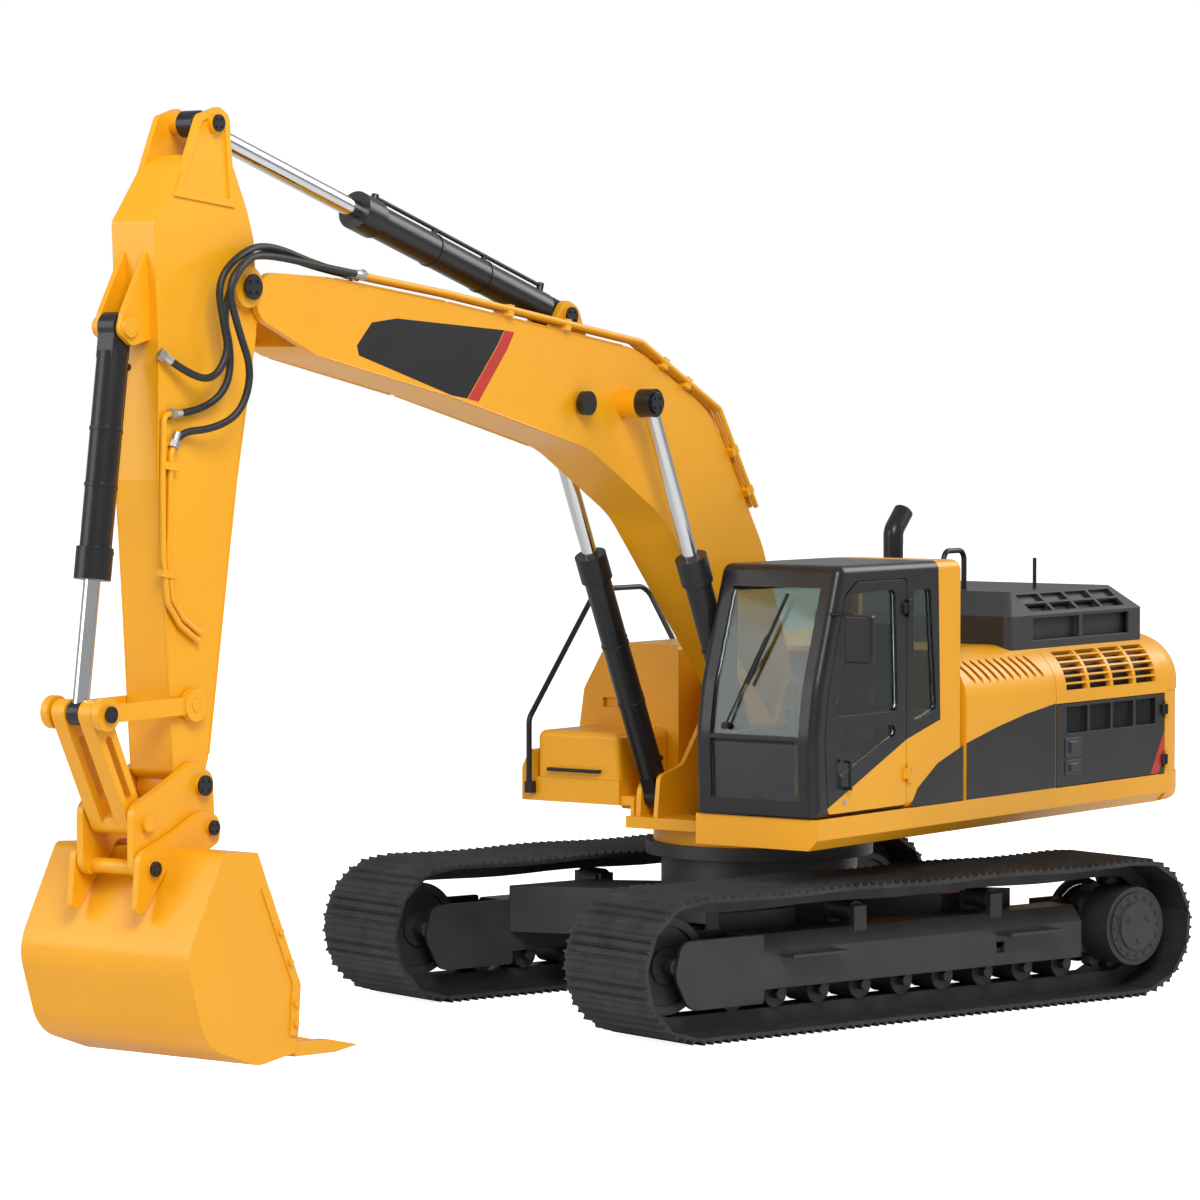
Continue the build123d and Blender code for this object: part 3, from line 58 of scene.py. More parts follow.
def addCamera():
    turn = radians(shot["azimuth"])
    lensData = bpy.data.cameras.new("photoCamera")
    lensData.sensor_width = shot["sensor"]
    lensData.lens = shot["focal"] / shot["width"] * shot["sensor"]
    lensData.clip_end = shot["farthest"]
    holder = bpy.data.objects.new("photoCamera", lensData)
    holder.location = (shot["distance"] * cos(turn), shot["distance"] * sin(turn), shot["height"])
    middle = shot["width"] / 2
    heading = turn + pi + atan((shot["axisColumn"] - middle) / shot["focal"])
    tilt = atan((middle - shot["horizonRow"]) / shot["focal"])
    holder.rotation_euler = (pi / 2 - tilt, 0, heading - pi / 2)
    scene.collection.objects.link(holder)
    scene.camera = holder


addCamera()
print("camera placed")


# shader helpers
def newMaterial(name):
    material = bpy.data.materials.new(name)
    material.use_nodes = True
    tree = material.node_tree
    return material, tree, tree.nodes["Principled BSDF"]


def addNoise(tree, scale, detail=3.0, roughness=0.5):
    place = tree.nodes.new("ShaderNodeTexCoord")
    noise = tree.nodes.new("ShaderNodeTexNoise")
    noise.inputs["Scale"].default_value = scale
    noise.inputs["Detail"].default_value = detail
    noise.inputs["Roughness"].default_value = roughness
    tree.links.new(place.outputs["Object"], noise.inputs["Vector"])
    return noise.outputs["Fac"]


def addRamp(tree, source, stops):
    ramp = tree.nodes.new("ShaderNodeValToRGB")
    ramp.color_ramp.elements[0].position = stops[0][0]
    ramp.color_ramp.elements[0].color = (*stops[0][1], 1)
    ramp.color_ramp.elements[1].position = stops[-1][0]
    ramp.color_ramp.elements[1].color = (*stops[-1][1], 1)
    for place, tone in stops[1:-1]:
        ramp.color_ramp.elements.new(place).color = (*tone, 1)
    tree.links.new(source, ramp.inputs["Fac"])
    return ramp.outputs["Color"]


def addSpread(tree, source, low, high):
    spread = tree.nodes.new("ShaderNodeMapRange")
    spread.inputs["To Min"].default_value = low
    spread.inputs["To Max"].default_value = high
    tree.links.new(source, spread.inputs["Value"])
    return spread.outputs["Result"]


def addRelief(tree, shader, source, strength, distance, roundEdge=0.0):
    bump = tree.nodes.new("ShaderNodeBump")
    bump.inputs["Strength"].default_value = strength
    bump.inputs["Distance"].default_value = distance
    tree.links.new(source, bump.inputs["Height"])
    if roundEdge:
        edge = tree.nodes.new("ShaderNodeBevel")
        edge.samples = 4
        edge.inputs["Radius"].default_value = roundEdge
        tree.links.new(edge.outputs["Normal"], bump.inputs["Normal"])
    tree.links.new(bump.outputs["Normal"], shader.inputs["Normal"])


def coated(name, look):
    """paint, powder coat, bare metal and rubber all share this build"""
    material, tree, shader = newMaterial(name)
    broad = addNoise(tree, look["patch"], 4.0)
    tone = addRamp(tree, broad, [(0.3, look["dark"]), (0.7, look["light"])])
    tree.links.new(tone, shader.inputs["Base Color"])
    fine = addNoise(tree, look["grain"], 2.0)
    tree.links.new(addSpread(tree, fine, look["gloss"][0], look["gloss"][1]), shader.inputs["Roughness"])
    addRelief(tree, shader, fine, look["relief"], look["depth"], look.get("edge", 0))
    shader.inputs["Metallic"].default_value = look.get("metal", 0)
    shader.inputs["Specular IOR Level"].default_value = look.get("shine", 0.5)
    shader.inputs["Coat Weight"].default_value = look.get("coat", 0)
    shader.inputs["Coat Roughness"].default_value = 0.12
    return material


finishes = {
    "yellowPaint": {"dark": (0.80, 0.350, 0.004), "light": (0.85, 0.385, 0.006), "patch": 0.9, "grain": 260,
                    "gloss": (0.3, 0.42), "relief": 0.08, "depth": 0.001, "edge": 0.006, "coat": 0.12,
                    "shine": 0.4},
    "blackPaint": {"dark": (0.010, 0.010, 0.011), "light": (0.016, 0.016, 0.017), "patch": 2, "grain": 300,
                   "gloss": (0.25, 0.36), "relief": 0.08, "depth": 0.001, "edge": 0.006, "coat": 0.08,
                   "shine": 0.35},
    "frameBlack": {"dark": (0.026, 0.0268, 0.029), "light": (0.040, 0.041, 0.043), "patch": 3, "grain": 180,
                   "gloss": (0.36, 0.5), "relief": 0.15, "depth": 0.001, "edge": 0.008},
    "shoeSteel": {"dark": (0.028, 0.028, 0.030), "light": (0.048, 0.048, 0.050), "patch": 6, "grain": 120,
                  "gloss": (0.4, 0.58), "relief": 0.2, "depth": 0.0015, "edge": 0.004, "metal": 0.3},
    "chromeRod": {"dark": (0.62, 0.63, 0.65), "light": (0.75, 0.76, 0.78), "patch": 1, "grain": 400,
                  "gloss": (0.08, 0.16), "relief": 0.02, "depth": 0.0005, "metal": 1},
    "zincSteel": {"dark": (0.42, 0.42, 0.41), "light": (0.58, 0.58, 0.56), "patch": 12, "grain": 300,
                  "gloss": (0.28, 0.42), "relief": 0.1, "depth": 0.0006, "metal": 0.9, "edge": 0.002},
    "hoseRubber": {"dark": (0.010, 0.010, 0.011), "light": (0.018, 0.018, 0.019), "patch": 9, "grain": 500,
                   "gloss": (0.42, 0.58), "relief": 0.2, "depth": 0.0006},
    "hoodBlack": {"dark": (0.018, 0.018, 0.019), "light": (0.027, 0.027, 0.028), "patch": 2.5, "grain": 350,
                  "gloss": (0.34, 0.46), "relief": 0.12, "depth": 0.0008, "edge": 0.01},
    # very dark black for the grille mesh, also used as painted shade in the engine-bay openings
    "grilleAndShadeBlack": {"dark": (0.006, 0.006, 0.006), "light": (0.011, 0.011, 0.011), "patch": 5, "grain": 220,
                    "gloss": (0.5, 0.68), "relief": 0.2, "depth": 0.001},
    "decalRed": {"dark": (0.42, 0.018, 0.012), "light": (0.5, 0.024, 0.016), "patch": 3, "grain": 300,
                 "gloss": (0.3, 0.4), "relief": 0.05, "depth": 0.0005},
    "seatCloth": {"dark": (0.02, 0.021, 0.024), "light": (0.04, 0.041, 0.045), "patch": 8, "grain": 700,
                  "gloss": (0.75, 0.92), "relief": 0.5, "depth": 0.001},
    "engineCast": {"dark": (0.05, 0.05, 0.05), "light": (0.09, 0.09, 0.09), "patch": 5, "grain": 90,
                   "gloss": (0.5, 0.7), "relief": 0.3, "depth": 0.002},
}
made = {name: coated(name, look) for name, look in finishes.items()}


def tintedGlass(name, tone):
    material, tree, shader = newMaterial(name)
    shader.inputs["Base Color"].default_value = (*tone, 1)
    shader.inputs["Transmission Weight"].default_value = 1.0
    shader.inputs["IOR"].default_value = 1.45
    smear = addNoise(tree, 3, 2.0)
    tree.links.new(addSpread(tree, smear, 0.02, 0.06), shader.inputs["Roughness"])
    return material


made["cabGlass"] = tintedGlass("cabGlass", (0.62, 0.74, 0.70))

nodeFinish = {
    "track_left": "shoeSteel", "track_right": "shoeSteel", "final_drive_left": "frameBlack",
    "final_drive_right": "frameBlack", "idler_left": "frameBlack", "idler_right": "frameBlack",
    "rollers_left": "shoeSteel", "rollers_right": "shoeSteel", "track_frame_left": "frameBlack",
    "track_frame_right": "frameBlack", "car_body": "frameBlack", "swing_ring": "frameBlack",
    "engine_block": "engineCast", "engine_hood": "hoodBlack", "hood_rail": "blackPaint",
    "exhaust": "blackPaint",
    "handrail": "blackPaint", "cab_shell": "blackPaint", "cab_door": "blackPaint", "cab_glass": "cabGlass",
    "door_glass": "cabGlass", "seat": "seatCloth", "console": "hoodBlack", "side_door_rear": "blackPaint",
    "boom_lamp": "blackPaint",
}
for name, piece in nodes.items():
    finish = nodeFinish.get(name)
    if finish is None and "_barrel" in name:
        finish = "blackPaint"
    if finish is None and "_rod" in name:
        finish = "chromeRod"
    piece.data.materials.clear()
    piece.data.materials.append(made[finish or "yellowPaint"])
print("finishes on:", len(made))

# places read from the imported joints
joints = frame["record"]["behaviour"]["joints"]
pins = {joint["name"]: Vector(joint["pos_m"]) for joint in joints if "pos_m" in joint}
boomFoot, stickFoot, tipPin = pins["boom_lift"], pins["stick_crowd"], pins["bucket_curl"]


def armFrame(start, stop):
    """places a piece that is drawn along an arm, with X from pin to pin and Z across"""
    tilt = atan2(stop.z - start.z, stop.x - start.x)
    return Matrix.Translation(start) @ Matrix.Rotation(-tilt, 4, "Y")


boomFrame = armFrame(boomFoot, stickFoot)
stickFrame = armFrame(stickFoot, tipPin)
level = Matrix.Identity(4)
swingRest = -15.7
underFrame = Matrix.Rotation(radians(swingRest), 4, "Z")
deckSide = 1.493


# mesh helpers
def addBlock(bm, low, high, place=level):
    centre = (Vector(low) + Vector(high)) / 2
    size = Vector(high) - Vector(low)
    bmesh.ops.create_cube(bm, size=1, matrix=place @ Matrix.Translation(centre) @ Matrix.Diagonal((*size, 1)))


def addRod(bm, start, stop, radius, sides=16, place=level):
    start, stop = place @ Vector(start), place @ Vector(stop)
    run = stop - start
    turn = run.to_track_quat("Z", "Y").to_matrix().to_4x4()
    where = Matrix.Translation((start + stop) / 2) @ turn
    bmesh.ops.create_cone(
        bm, cap_ends=True, segments=sides, radius1=radius, radius2=radius, depth=run.length, matrix=where)


def addPlate(bm, corners, low, high, place=level):
    """a flat outline in X and Z, from low to high along Y"""
    near = [bm.verts.new(place @ Vector((x, low, z))) for x, z in corners]
    far = [bm.verts.new(place @ Vector((x, high, z))) for x, z in corners]
    bm.faces.new(near)
    bm.faces.new(list(reversed(far)))
    for index, vert in enumerate(near):
        following = (index + 1) % len(near)
        bm.faces.new((vert, far[index], far[following], near[following]))


def addPiece(name, body, finish, build, bevel=0.0):
    bm = bmesh.new()
    build(bm)
    bmesh.ops.recalc_face_normals(bm, faces=bm.faces)
    mesh = bpy.data.meshes.new(name)
    bm.to_mesh(mesh)
    bm.free()
    piece = bpy.data.objects.new(name, mesh)
    scene.collection.objects.link(piece)
    mesh.materials.append(made[finish])
    if bevel:
        rounding = piece.modifiers.new("rounding", "BEVEL")
        rounding.width = bevel
        rounding.segments = 2
        rounding.limit_method = "ANGLE"
    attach(piece, body)
    return piece


# the three free hoses from the boom to the stick, on the route of their solids
hoseRoutes = {
    "a": [(5.606, 0.200, 5.144), (6.018, 0.315, 5.055), (6.198, 0.315, 4.890), (6.137, 0.315, 4.637),
          (6.092, 0.315, 4.483), (6.216, 0.300, 4.311), (6.404, 0.260, 4.352), (6.560, 0.190, 4.470)],
    "b": [(5.733, 0.248, 5.080), (6.054, 0.380, 5.006), (6.178, 0.380, 4.860), (6.064, 0.368, 4.607),
          (5.942, 0.368, 4.370), (6.017, 0.350, 4.127), (6.193, 0.285, 4.027), (6.412, 0.191, 4.010),
          (6.4511, 0.191, 3.9285)],
    "c": [(5.549, 0.160, 5.100), (5.921, 0.262, 5.012), (6.093, 0.262, 4.720), (6.007, 0.262, 4.483),
          (6.047, 0.262, 4.257), (6.225, 0.191, 4.127), (6.4747, 0.191, 4.1162)],
}
hoseBore = {"radius": 0.0225, "start": (4.7406, 4.9613), "lead": (5.0483, 4.9960),
            "side": {"a": 0.2, "b": 0.248, "c": 0.152}}


def hoseSpline(name, points, radius):
    """a smooth NURBS line through the neighbourhood of a route's points"""
    curve = bpy.data.curves.new(name, "CURVE")
    curve.dimensions = "3D"
    curve.bevel_depth = radius
    curve.bevel_resolution = 4
    curve.use_fill_caps = radius > 0
    spline = curve.splines.new("NURBS")
    spline.points.add(len(points) - 1)
    for point, place in zip(spline.points, points):
        point.co = (*place, 1)
    spline.order_u = 3
    spline.use_endpoint_u = True
    spline.resolution_u = 12
    holder = bpy.data.objects.new(name, curve)
    scene.collection.objects.link(holder)
    bpy.context.view_layer.update()
    mesh = bpy.data.meshes.new_from_object(holder)
    bpy.data.objects.remove(holder)
    return mesh


def addHose(letter):
    side = hoseBore["side"][letter]
    lead = [(x, side, z) for x, z in (hoseBore["start"], hoseBore["lead"])]
    points = lead + hoseRoutes[letter]
    line = [vert.co.copy() for vert in hoseSpline("line", points, 0).vertices]
    name = "hose_" + letter + "_skin"
    hose = bpy.data.objects.new(name, hoseSpline(name, points, hoseBore["radius"]))
    scene.collection.objects.link(hose)
    hose.data.materials.clear()
    hose.data.materials.append(made["hoseRubber"])
    for face in hose.data.polygons:
        face.use_smooth = True
    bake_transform(hose)
    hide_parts("hose_" + letter)


for letter in hoseRoutes:
    addHose(letter)
print("hoses laid")


# blank stripes and panels
stripes = {
    "boom": [(5.373, 0.139), (5.302, 0.333), (5.090, 0.467), (4.067, 0.896), (4.091, 0.776), (4.226, 0.333),
             (4.375, 0.281), (5.328, 0.093)],
    "boomRed": [(4.060, 0.898), (4.084, 0.776), (4.219, 0.333), (4.110, 0.365), (3.985, 0.800),
                (3.965, 0.932)],
    "cabRear": [(0.384, 1.424), (0.289, 1.551), (0.034, 1.703), (-0.290, 1.802), (-0.298, 1.806),
                (-0.298, 1.424)],
    "bay": [(-0.342, 1.424), (-0.342, 1.816), (-0.75, 1.905), (-1.15, 1.975), (-1.552, 2.025),
            (-1.552, 1.424)],
    "tailRed": [(-3.128, 1.74), (-2.923, 1.43), (-3.042, 1.43), (-3.128, 1.56)],
    "boomSide": 0.2201,
    "gap": 0.0001,
    "lift": 0.0012,
}


def addStripes():
    lift = stripes["lift"]
    for side, word in ((1, "left"), (-1, "right")):
        low, high = sorted((side * stripes["boomSide"], side * (stripes["boomSide"] + lift)))
        for name, finish in (("boom", "blackPaint"), ("boomRed", "decalRed")):
            def build(bm):
                addPlate(bm, stripes[name], low, high, boomFrame)
            addPiece(name + "Stripe_" + word, "boom", finish, build)
    low = deckSide + stripes["gap"]
    high = low + lift
    addPiece("cabStripe", "upper", "blackPaint", lambda bm: addPlate(bm, stripes["cabRear"], low, high))
    addPiece("bayStripe", "upper", "blackPaint", lambda bm: addPlate(bm, stripes["bay"], low, high))
    addPiece("doorRed", "side_door_rear", "decalRed", lambda bm: addPlate(bm, stripes["tailRed"], low, high))


addStripes()
print("stripes on")


# dark mesh behind the openings of the engine bay, drawn as solid black sheets: black grille mesh, and painted
# shade for the shaded bay behind it
linings = {
    "shoulder": {"centre": (1.143, 2.10), "radius": 0.288, "turns": (2, 74), "steps": 12, "low": -2.98,
                 "high": -0.42},
    "hood": [(1.262, 2.462), (1.262, 2.636), (1.082, 2.772)],
    "hoodReach": (-2.93, -1.50),
    "door": {"low": -2.965, "high": -1.66, "bottom": 1.785, "top": 2.005, "behind": 0.034, "thick": 0.004,
             "pitch": 0.024, "barBehind": 0.016, "bar": 0.0035, "barMargin": 0.01, "barSides": 6},
    "skin": 0.006,
}


def addSheet(bm, line, low, high, skin):
    """a thin folded sheet: its line in Y and Z, drawn out along X"""
    for (y0, z0), (y1, z1) in zip(line, line[1:]):
        run = Vector((0, y1 - y0, z1 - z0))
        away = Vector((0, -run.z, run.y)).normalized() * skin
        corners = [Vector((x, y, z)) for x in (low, high) for y, z in ((y0, z0), (y1, z1))]
        verts = [bm.verts.new(corner + shift) for shift in (Vector((0, 0, 0)), away) for corner in corners]
        for sides in ((0, 1, 3, 2), (4, 6, 7, 5), (0, 4, 5, 1), (2, 3, 7, 6), (0, 2, 6, 4), (1, 5, 7, 3)):
            bm.faces.new([verts[index] for index in sides])


def addLinings():
    shoulder, door, skin = linings["shoulder"], linings["door"], linings["skin"]
    low, high = shoulder["turns"]
    y, z = shoulder["centre"]
    arc = []
    for step in range(shoulder["steps"] + 1):
        turn = radians(low + (high - low) * step / shoulder["steps"])
        arc.append((y + shoulder["radius"] * cos(turn), z + shoulder["radius"] * sin(turn)))

    # the shoulder and hood sheets are solid: grille mesh and painted shade of the bay behind it in one
    def buildShoulder(bm):
        addSheet(bm, arc, shoulder["low"], shoulder["high"], skin)
    addPiece("shoulderMesh", "upper", "grilleAndShadeBlack", buildShoulder)

    def buildHood(bm):
        addSheet(bm, linings["hood"], *linings["hoodReach"], skin)
    addPiece("hoodMesh", "hood", "grilleAndShadeBlack", buildHood)
    for side, body in ((1, "side_door_rear"), (-1, "pump_door")):
        def buildDoor(bm):
            outer = deckSide - door["behind"]
            near, far = sorted((side * outer, side * (outer - door["thick"])))
            # the solid block behind the bars is painted shade for the shaded bay; the bars are the grille
            addBlock(bm, (door["low"], near, door["bottom"]), (door["high"], far, door["top"]))
            count = int((door["high"] - door["low"]) / door["pitch"])
            y = side * (deckSide - door["barBehind"])
            bottom, top = door["bottom"] + door["barMargin"], door["top"] - door["barMargin"]
            for index in range(1, count):
                x = door["low"] + index * door["pitch"]
                addRod(bm, (x, y, bottom), (x, y, top), door["bar"], door["barSides"])
        addPiece(body + "Mesh", body, "grilleAndShadeBlack", buildDoor)


addLinings()
print("linings in")


# weld beads along the plate edges of the boom and the stick
beads = {
    "boom": [[(2.86, 1.385), (4.66, 0.795)], [(4.70, 0.782), (5.74, 0.412)], [(2.98, 0.592), (4.40, 0.268)],
             [(4.45, 0.252), (5.62, -0.066)]],
    "stick": [[(0.56, 0.687), (1.25, 0.584), (2.03, 0.399), (2.90, 0.200)],
              [(0.25, -0.160), (1.157, -0.115), (2.80, -0.110)]],
    "radius": 0.0065,
    "sides": 8,
    "at": {"boom": 0.2195, "stick": 0.1645},
}


def addBeads():
    for body, place in (("boom", boomFrame), ("stick", stickFrame)):
        def build(bm):
            for line in beads[body]:
                for side in (-1, 1):
                    y = side * beads["at"][body]
                    spots = [(x, y, z) for x, z in line]
                    for start, stop in zip(spots, spots[1:]):
                        addRod(bm, start, stop, beads["radius"], beads["sides"], place)
        addPiece(body + "Beads", body, "yellowPaint", build)


addBeads()
print("weld beads laid")


# pin caps with their bolts, on both sides of each pin
caps = {
    "boomFork": {"body": "boom", "at": (5.788, 4.873), "side": 0.245, "radius": 0.078},
    "liftEye": {"body": "boom", "at": (1.933, 4.168), "side": 0.48, "radius": 0.07},
    "crowdFoot": {"body": "boom", "at": (2.409, 4.740), "side": 0.13, "radius": 0.06},
    "crowdHead": {"body": "stick", "at": (6.051, 5.840), "side": 0.202, "radius": 0.052},
    "tip": {"body": "bucket_and_coupler", "at": (6.257, 1.915), "side": 0.255, "radius": 0.062},
    "couplerFront": {"body": "bucket_and_coupler", "at": (6.225, 1.664), "side": 0.296, "radius": 0.046},
    "couplerRear": {"body": "bucket_and_coupler", "at": (6.750, 1.461), "side": 0.296, "radius": 0.046},
    "linkMeet": {"body": "idler_links", "at": (7.068, 2.380), "side": 0.24, "radius": 0.05},
}
capForm = {"sink": 0.004, "thickness": 0.014, "sides": 28, "bolts": 4, "boltRing": 0.62, "boltRadius": 0.15,
           "boltHeight": 0.009, "boltSides": 6, "round": 0.002}


def addCaps():
    for name, cap in caps.items():
        def build(bm):
            ring, bolt = cap["radius"] * capForm["boltRing"], cap["radius"] * capForm["boltRadius"]
            for side in (-1, 1):
                x, z = cap["at"]
                near, far = side * (cap["side"] - capForm["sink"]), side * (cap["side"] + capForm["thickness"])
                addRod(bm, (x, near, z), (x, far, z), cap["radius"], capForm["sides"])
                for index in range(capForm["bolts"]):
                    turn = 2 * pi * (index + 0.5) / capForm["bolts"]
                    boltX, boltZ = x + ring * cos(turn), z + ring * sin(turn)
                    head = far + side * capForm["boltHeight"]
                    addRod(bm, (boltX, far, boltZ), (boltX, head, boltZ), bolt, capForm["boltSides"])
        addPiece(name + "Cap", cap["body"], "blackPaint", build, capForm["round"])


addCaps()
print("pin caps on")


# glands, ports and pipes on the cylinders, and black rod eyes
rams = {
    "boom_left": {"foot": (0.650, 0.418, 1.430), "eye": (1.933, 0.418, 4.168), "radius": 0.092,
                  "length": 1.880, "end": 0.12, "body": "boom_barrel_left", "rod": "boom_cylinder_rod_left",
                  "pipeSide": 1},
    "boom_right": {"foot": (0.650, -0.418, 1.430), "eye": (1.933, -0.418, 4.168), "radius": 0.092,
                   "length": 1.880, "end": 0.12, "body": "boom_barrel_right", "rod": "boom_cylinder_rod_right",
                   "pipeSide": 1},
    "stick": {"foot": (2.409, 0, 4.740), "eye": (6.051, 0, 5.840), "radius": 0.105, "length": 2.200,
              "end": 0.13, "body": "stick_barrel", "rod": "stick_cylinder_rod", "pipeSide": 1},
    "bucket": {"foot": (6.746, 0, 4.628), "eye": (7.068, 0, 2.380), "radius": 0.092, "length": 1.490,
               "end": 0.12, "body": "bucket_barrel", "rod": "bucket_cylinder_rod", "pipeSide": -1},
}
ramForm = {"ribs": 4, "ribStart": 0.02, "ribPitch": 0.032, "ribLength": 0.018, "ribRise": 0.016, "sides": 28,
           "pipeRise": 0.034, "pipe": 0.014, "pipeSides": 10, "low": 0.22, "high": 0.17, "sink": 0.01,
           "port": 0.024, "portRise": 0.02, "portSides": 12, "clamps": (0.35, 0.65), "clampHalf": 0.012,
           "clampRise": 0.006, "saddle": 0.02, "saddleRise": 0.008, "saddleSides": 6, "round": 0.002}


def addRams():
    for name, ram in rams.items():
        foot, eye = Vector(ram["foot"]), Vector(ram["eye"])
        along = (eye - foot).normalized()
        away = Vector((-along.z, 0, along.x)) * ram["pipeSide"]

        def build(bm):
            end = foot + along * ram["length"]
            for index in range(ramForm["ribs"]):
                start = end - along * (ramForm["ribStart"] + ramForm["ribPitch"] * index)
                stop = start - along * ramForm["ribLength"]
                addRod(bm, start, stop, ram["radius"] + ramForm["ribRise"], ramForm["sides"])
            pipe = ram["radius"] + ramForm["pipeRise"]
            skin = away * (ram["radius"] - ramForm["sink"])
            near, far = foot + along * ramForm["low"], end - along * ramForm["high"]
            addRod(bm, near + away * pipe, far + away * pipe, ramForm["pipe"], ramForm["pipeSides"])
            for spot in (near, far):
                top = spot + away * (pipe + ramForm["portRise"])
                addRod(bm, spot + skin, top, ramForm["port"], ramForm["portSides"])
            for share in ramForm["clamps"]:
                clamp = near + (far - near) * share
                half = along * ramForm["clampHalf"]
                addRod(bm, clamp - half, clamp + half, ram["radius"] + ramForm["clampRise"], ramForm["sides"])
                top = clamp + away * (pipe + ramForm["saddleRise"])
                addRod(bm, clamp + skin, top, ramForm["saddle"], ramForm["saddleSides"])
        addPiece(name + "RamTrim", ram["body"], "blackPaint", build, ramForm["round"])
        rod = nodes[ram["rod"]].data
        rod.materials.append(made["blackPaint"])
        for face in rod.polygons:
            if (Vector(face.center) - eye).length < ram["end"]:
                face.material_index = 1


addRams()
print("rams dressed")


# steel fittings at the ends of the hoses
fittings = {"radius": 0.027, "length": 0.085, "sink": 0.01, "sides": 16, "nut": 0.036, "nutLength": 0.03,
            "nutSink": 0.012, "nutSides": 6, "round": 0.001}


def addFittings():
    for letter, route in hoseRoutes.items():
        side = hoseBore["side"][letter]
        start, lead = [Vector((x, side, z)) for x, z in (hoseBore["start"], hoseBore["lead"])]
        last, before = Vector(route[-1]), Vector(route[-2])
        ends = {"boom": (start, (lead - start).normalized()), "stick": (last, (before - last).normalized())}
        for body, (spot, run) in ends.items():
            def build(bm):
                tail, head = spot - run * fittings["sink"], spot + run * fittings["length"]
                addRod(bm, tail, head, fittings["radius"], fittings["sides"])
                tail, head = spot - run * fittings["nutSink"], spot + run * fittings["nutLength"]
                addRod(bm, tail, head, fittings["nut"], fittings["nutSides"])
            addPiece("fitting_" + letter + "_" + body, body, "zincSteel", build, fittings["round"])


addFittings()
print("fittings on")


# covers and bolts of the final drives
driveTrim = {"x": -2.02, "z": 0.49, "face": 1.70, "sink": 0.004, "lip": 0.238, "lipThick": 0.016,
             "lipSides": 48, "cover": 0.17, "coverThick": 0.034, "coverSides": 40, "ring": 0.20855,
             "bolts": 16, "boltSize": 0.014, "boltHeight": 0.028, "boltSides": 6, "plugs": (0.5, 2.6, 4.7),
             "plugRing": 0.1,
             "plugLow": 0.03, "plugHigh": 0.044, "plugSize": 0.02, "round": 0.002}


def addDriveTrim():
    x, z = driveTrim["x"], driveTrim["z"]

    def addDisc(bm, turn, ring, low, high, radius, sides):
        spotX, spotZ = x + ring * cos(turn), z + ring * sin(turn)
        addRod(bm, (spotX, low, spotZ), (spotX, high, spotZ), radius, sides, underFrame)

    def build(bm):
        for side in (-1, 1):
            y = side * driveTrim["face"]
            lipTop = y + side * driveTrim["lipThick"]
            addDisc(bm, 0, 0, y - side * driveTrim["sink"], lipTop, driveTrim["lip"], driveTrim["lipSides"])
            coverTop = y + side * driveTrim["coverThick"]
            addDisc(bm, 0, 0, y, coverTop, driveTrim["cover"], driveTrim["coverSides"])
            for index in range(driveTrim["bolts"]):
                turn = 2 * pi * index / driveTrim["bolts"]
                top = y + side * driveTrim["boltHeight"]
                addDisc(bm, turn, driveTrim["ring"], y, top, driveTrim["boltSize"], driveTrim["boltSides"])
            for turn in driveTrim["plugs"]:
                low, high = y + side * driveTrim["plugLow"], y + side * driveTrim["plugHigh"]
                ring, size = driveTrim["plugRing"], driveTrim["plugSize"]
                addDisc(bm, turn, ring, low, high, size, driveTrim["boltSides"])
    addPiece("driveTrim", "undercarriage", "frameBlack", build, driveTrim["round"])


addDriveTrim()
print("drives dressed")


# latches on the rear side door
latches = {"spots": [(-1.91, -1.684, 1.63, 1.769), (-1.91, -1.684, 1.50, 1.61)], "sink": 0.002, "plate": 0.006,
           "side": 0.06, "rim": 0.03, "grip": 0.018, "round": 0.003}


def addLatches():
    def build(bm):
        for low, high, bottom, top in latches["spots"]:
            near, far = deckSide - latches["sink"], deckSide + latches["plate"]
            addBlock(bm, (low, near, bottom), (high, far, top))
            side, rim, far = latches["side"], latches["rim"], deckSide + latches["grip"]
            addBlock(bm, (low + side, deckSide, bottom + rim), (high - side, far, top - rim))
    addPiece("doorLatches", "side_door_rear", "hoodBlack", build, latches["round"])


addLatches()

# handle and lock of the cab door
cabHandle = {"x": 1.20, "low": 1.60, "high": 1.80, "out": 0.045, "radius": 0.013, "foot": 0.012, "inset": 0.01,
             "sink": 0.004, "footOut": 0.05, "sides": 12, "round": 0.001}
cabLock = {"at": (1.206, 1.519), "sink": 0.003, "out": 0.008, "radius": 0.02, "sides": 20}


def addCabHandle():
    def build(bm):
        x, y = cabHandle["x"], deckSide + cabHandle["out"]
        start, stop = (x, y, cabHandle["low"]), (x, y, cabHandle["high"])
        addRod(bm, start, stop, cabHandle["radius"], cabHandle["sides"])
        for z in (cabHandle["low"] + cabHandle["inset"], cabHandle["high"] - cabHandle["inset"]):
            start, stop = (x, deckSide - cabHandle["sink"], z), (x, deckSide + cabHandle["footOut"], z)
            addRod(bm, start, stop, cabHandle["foot"], cabHandle["sides"])
    addPiece("doorHandle", "cab_door", "blackPaint", build, cabHandle["round"])

    def buildLock(bm):
        x, z = cabLock["at"]
        start, stop = (x, deckSide - cabLock["sink"], z), (x, deckSide + cabLock["out"], z)
        addRod(bm, start, stop, cabLock["radius"], cabLock["sides"])
    addPiece("doorLock", "cab_door", "zincSteel", buildLock)


addCabHandle()

# wiper on the windscreen
wiper = {"arm": [(1.566, 0.78, 2.02), (1.43, 1.02, 2.62)], "armRadius": 0.008, "armSides": 10,
         "blade": [(1.525, 0.93, 2.30), (1.325, 1.12, 2.90)], "bladeRadius": 0.012, "bladeSides": 8,
         "boss": 0.024, "bossIn": 0.03, "bossOut": 0.014, "bossSides": 16}


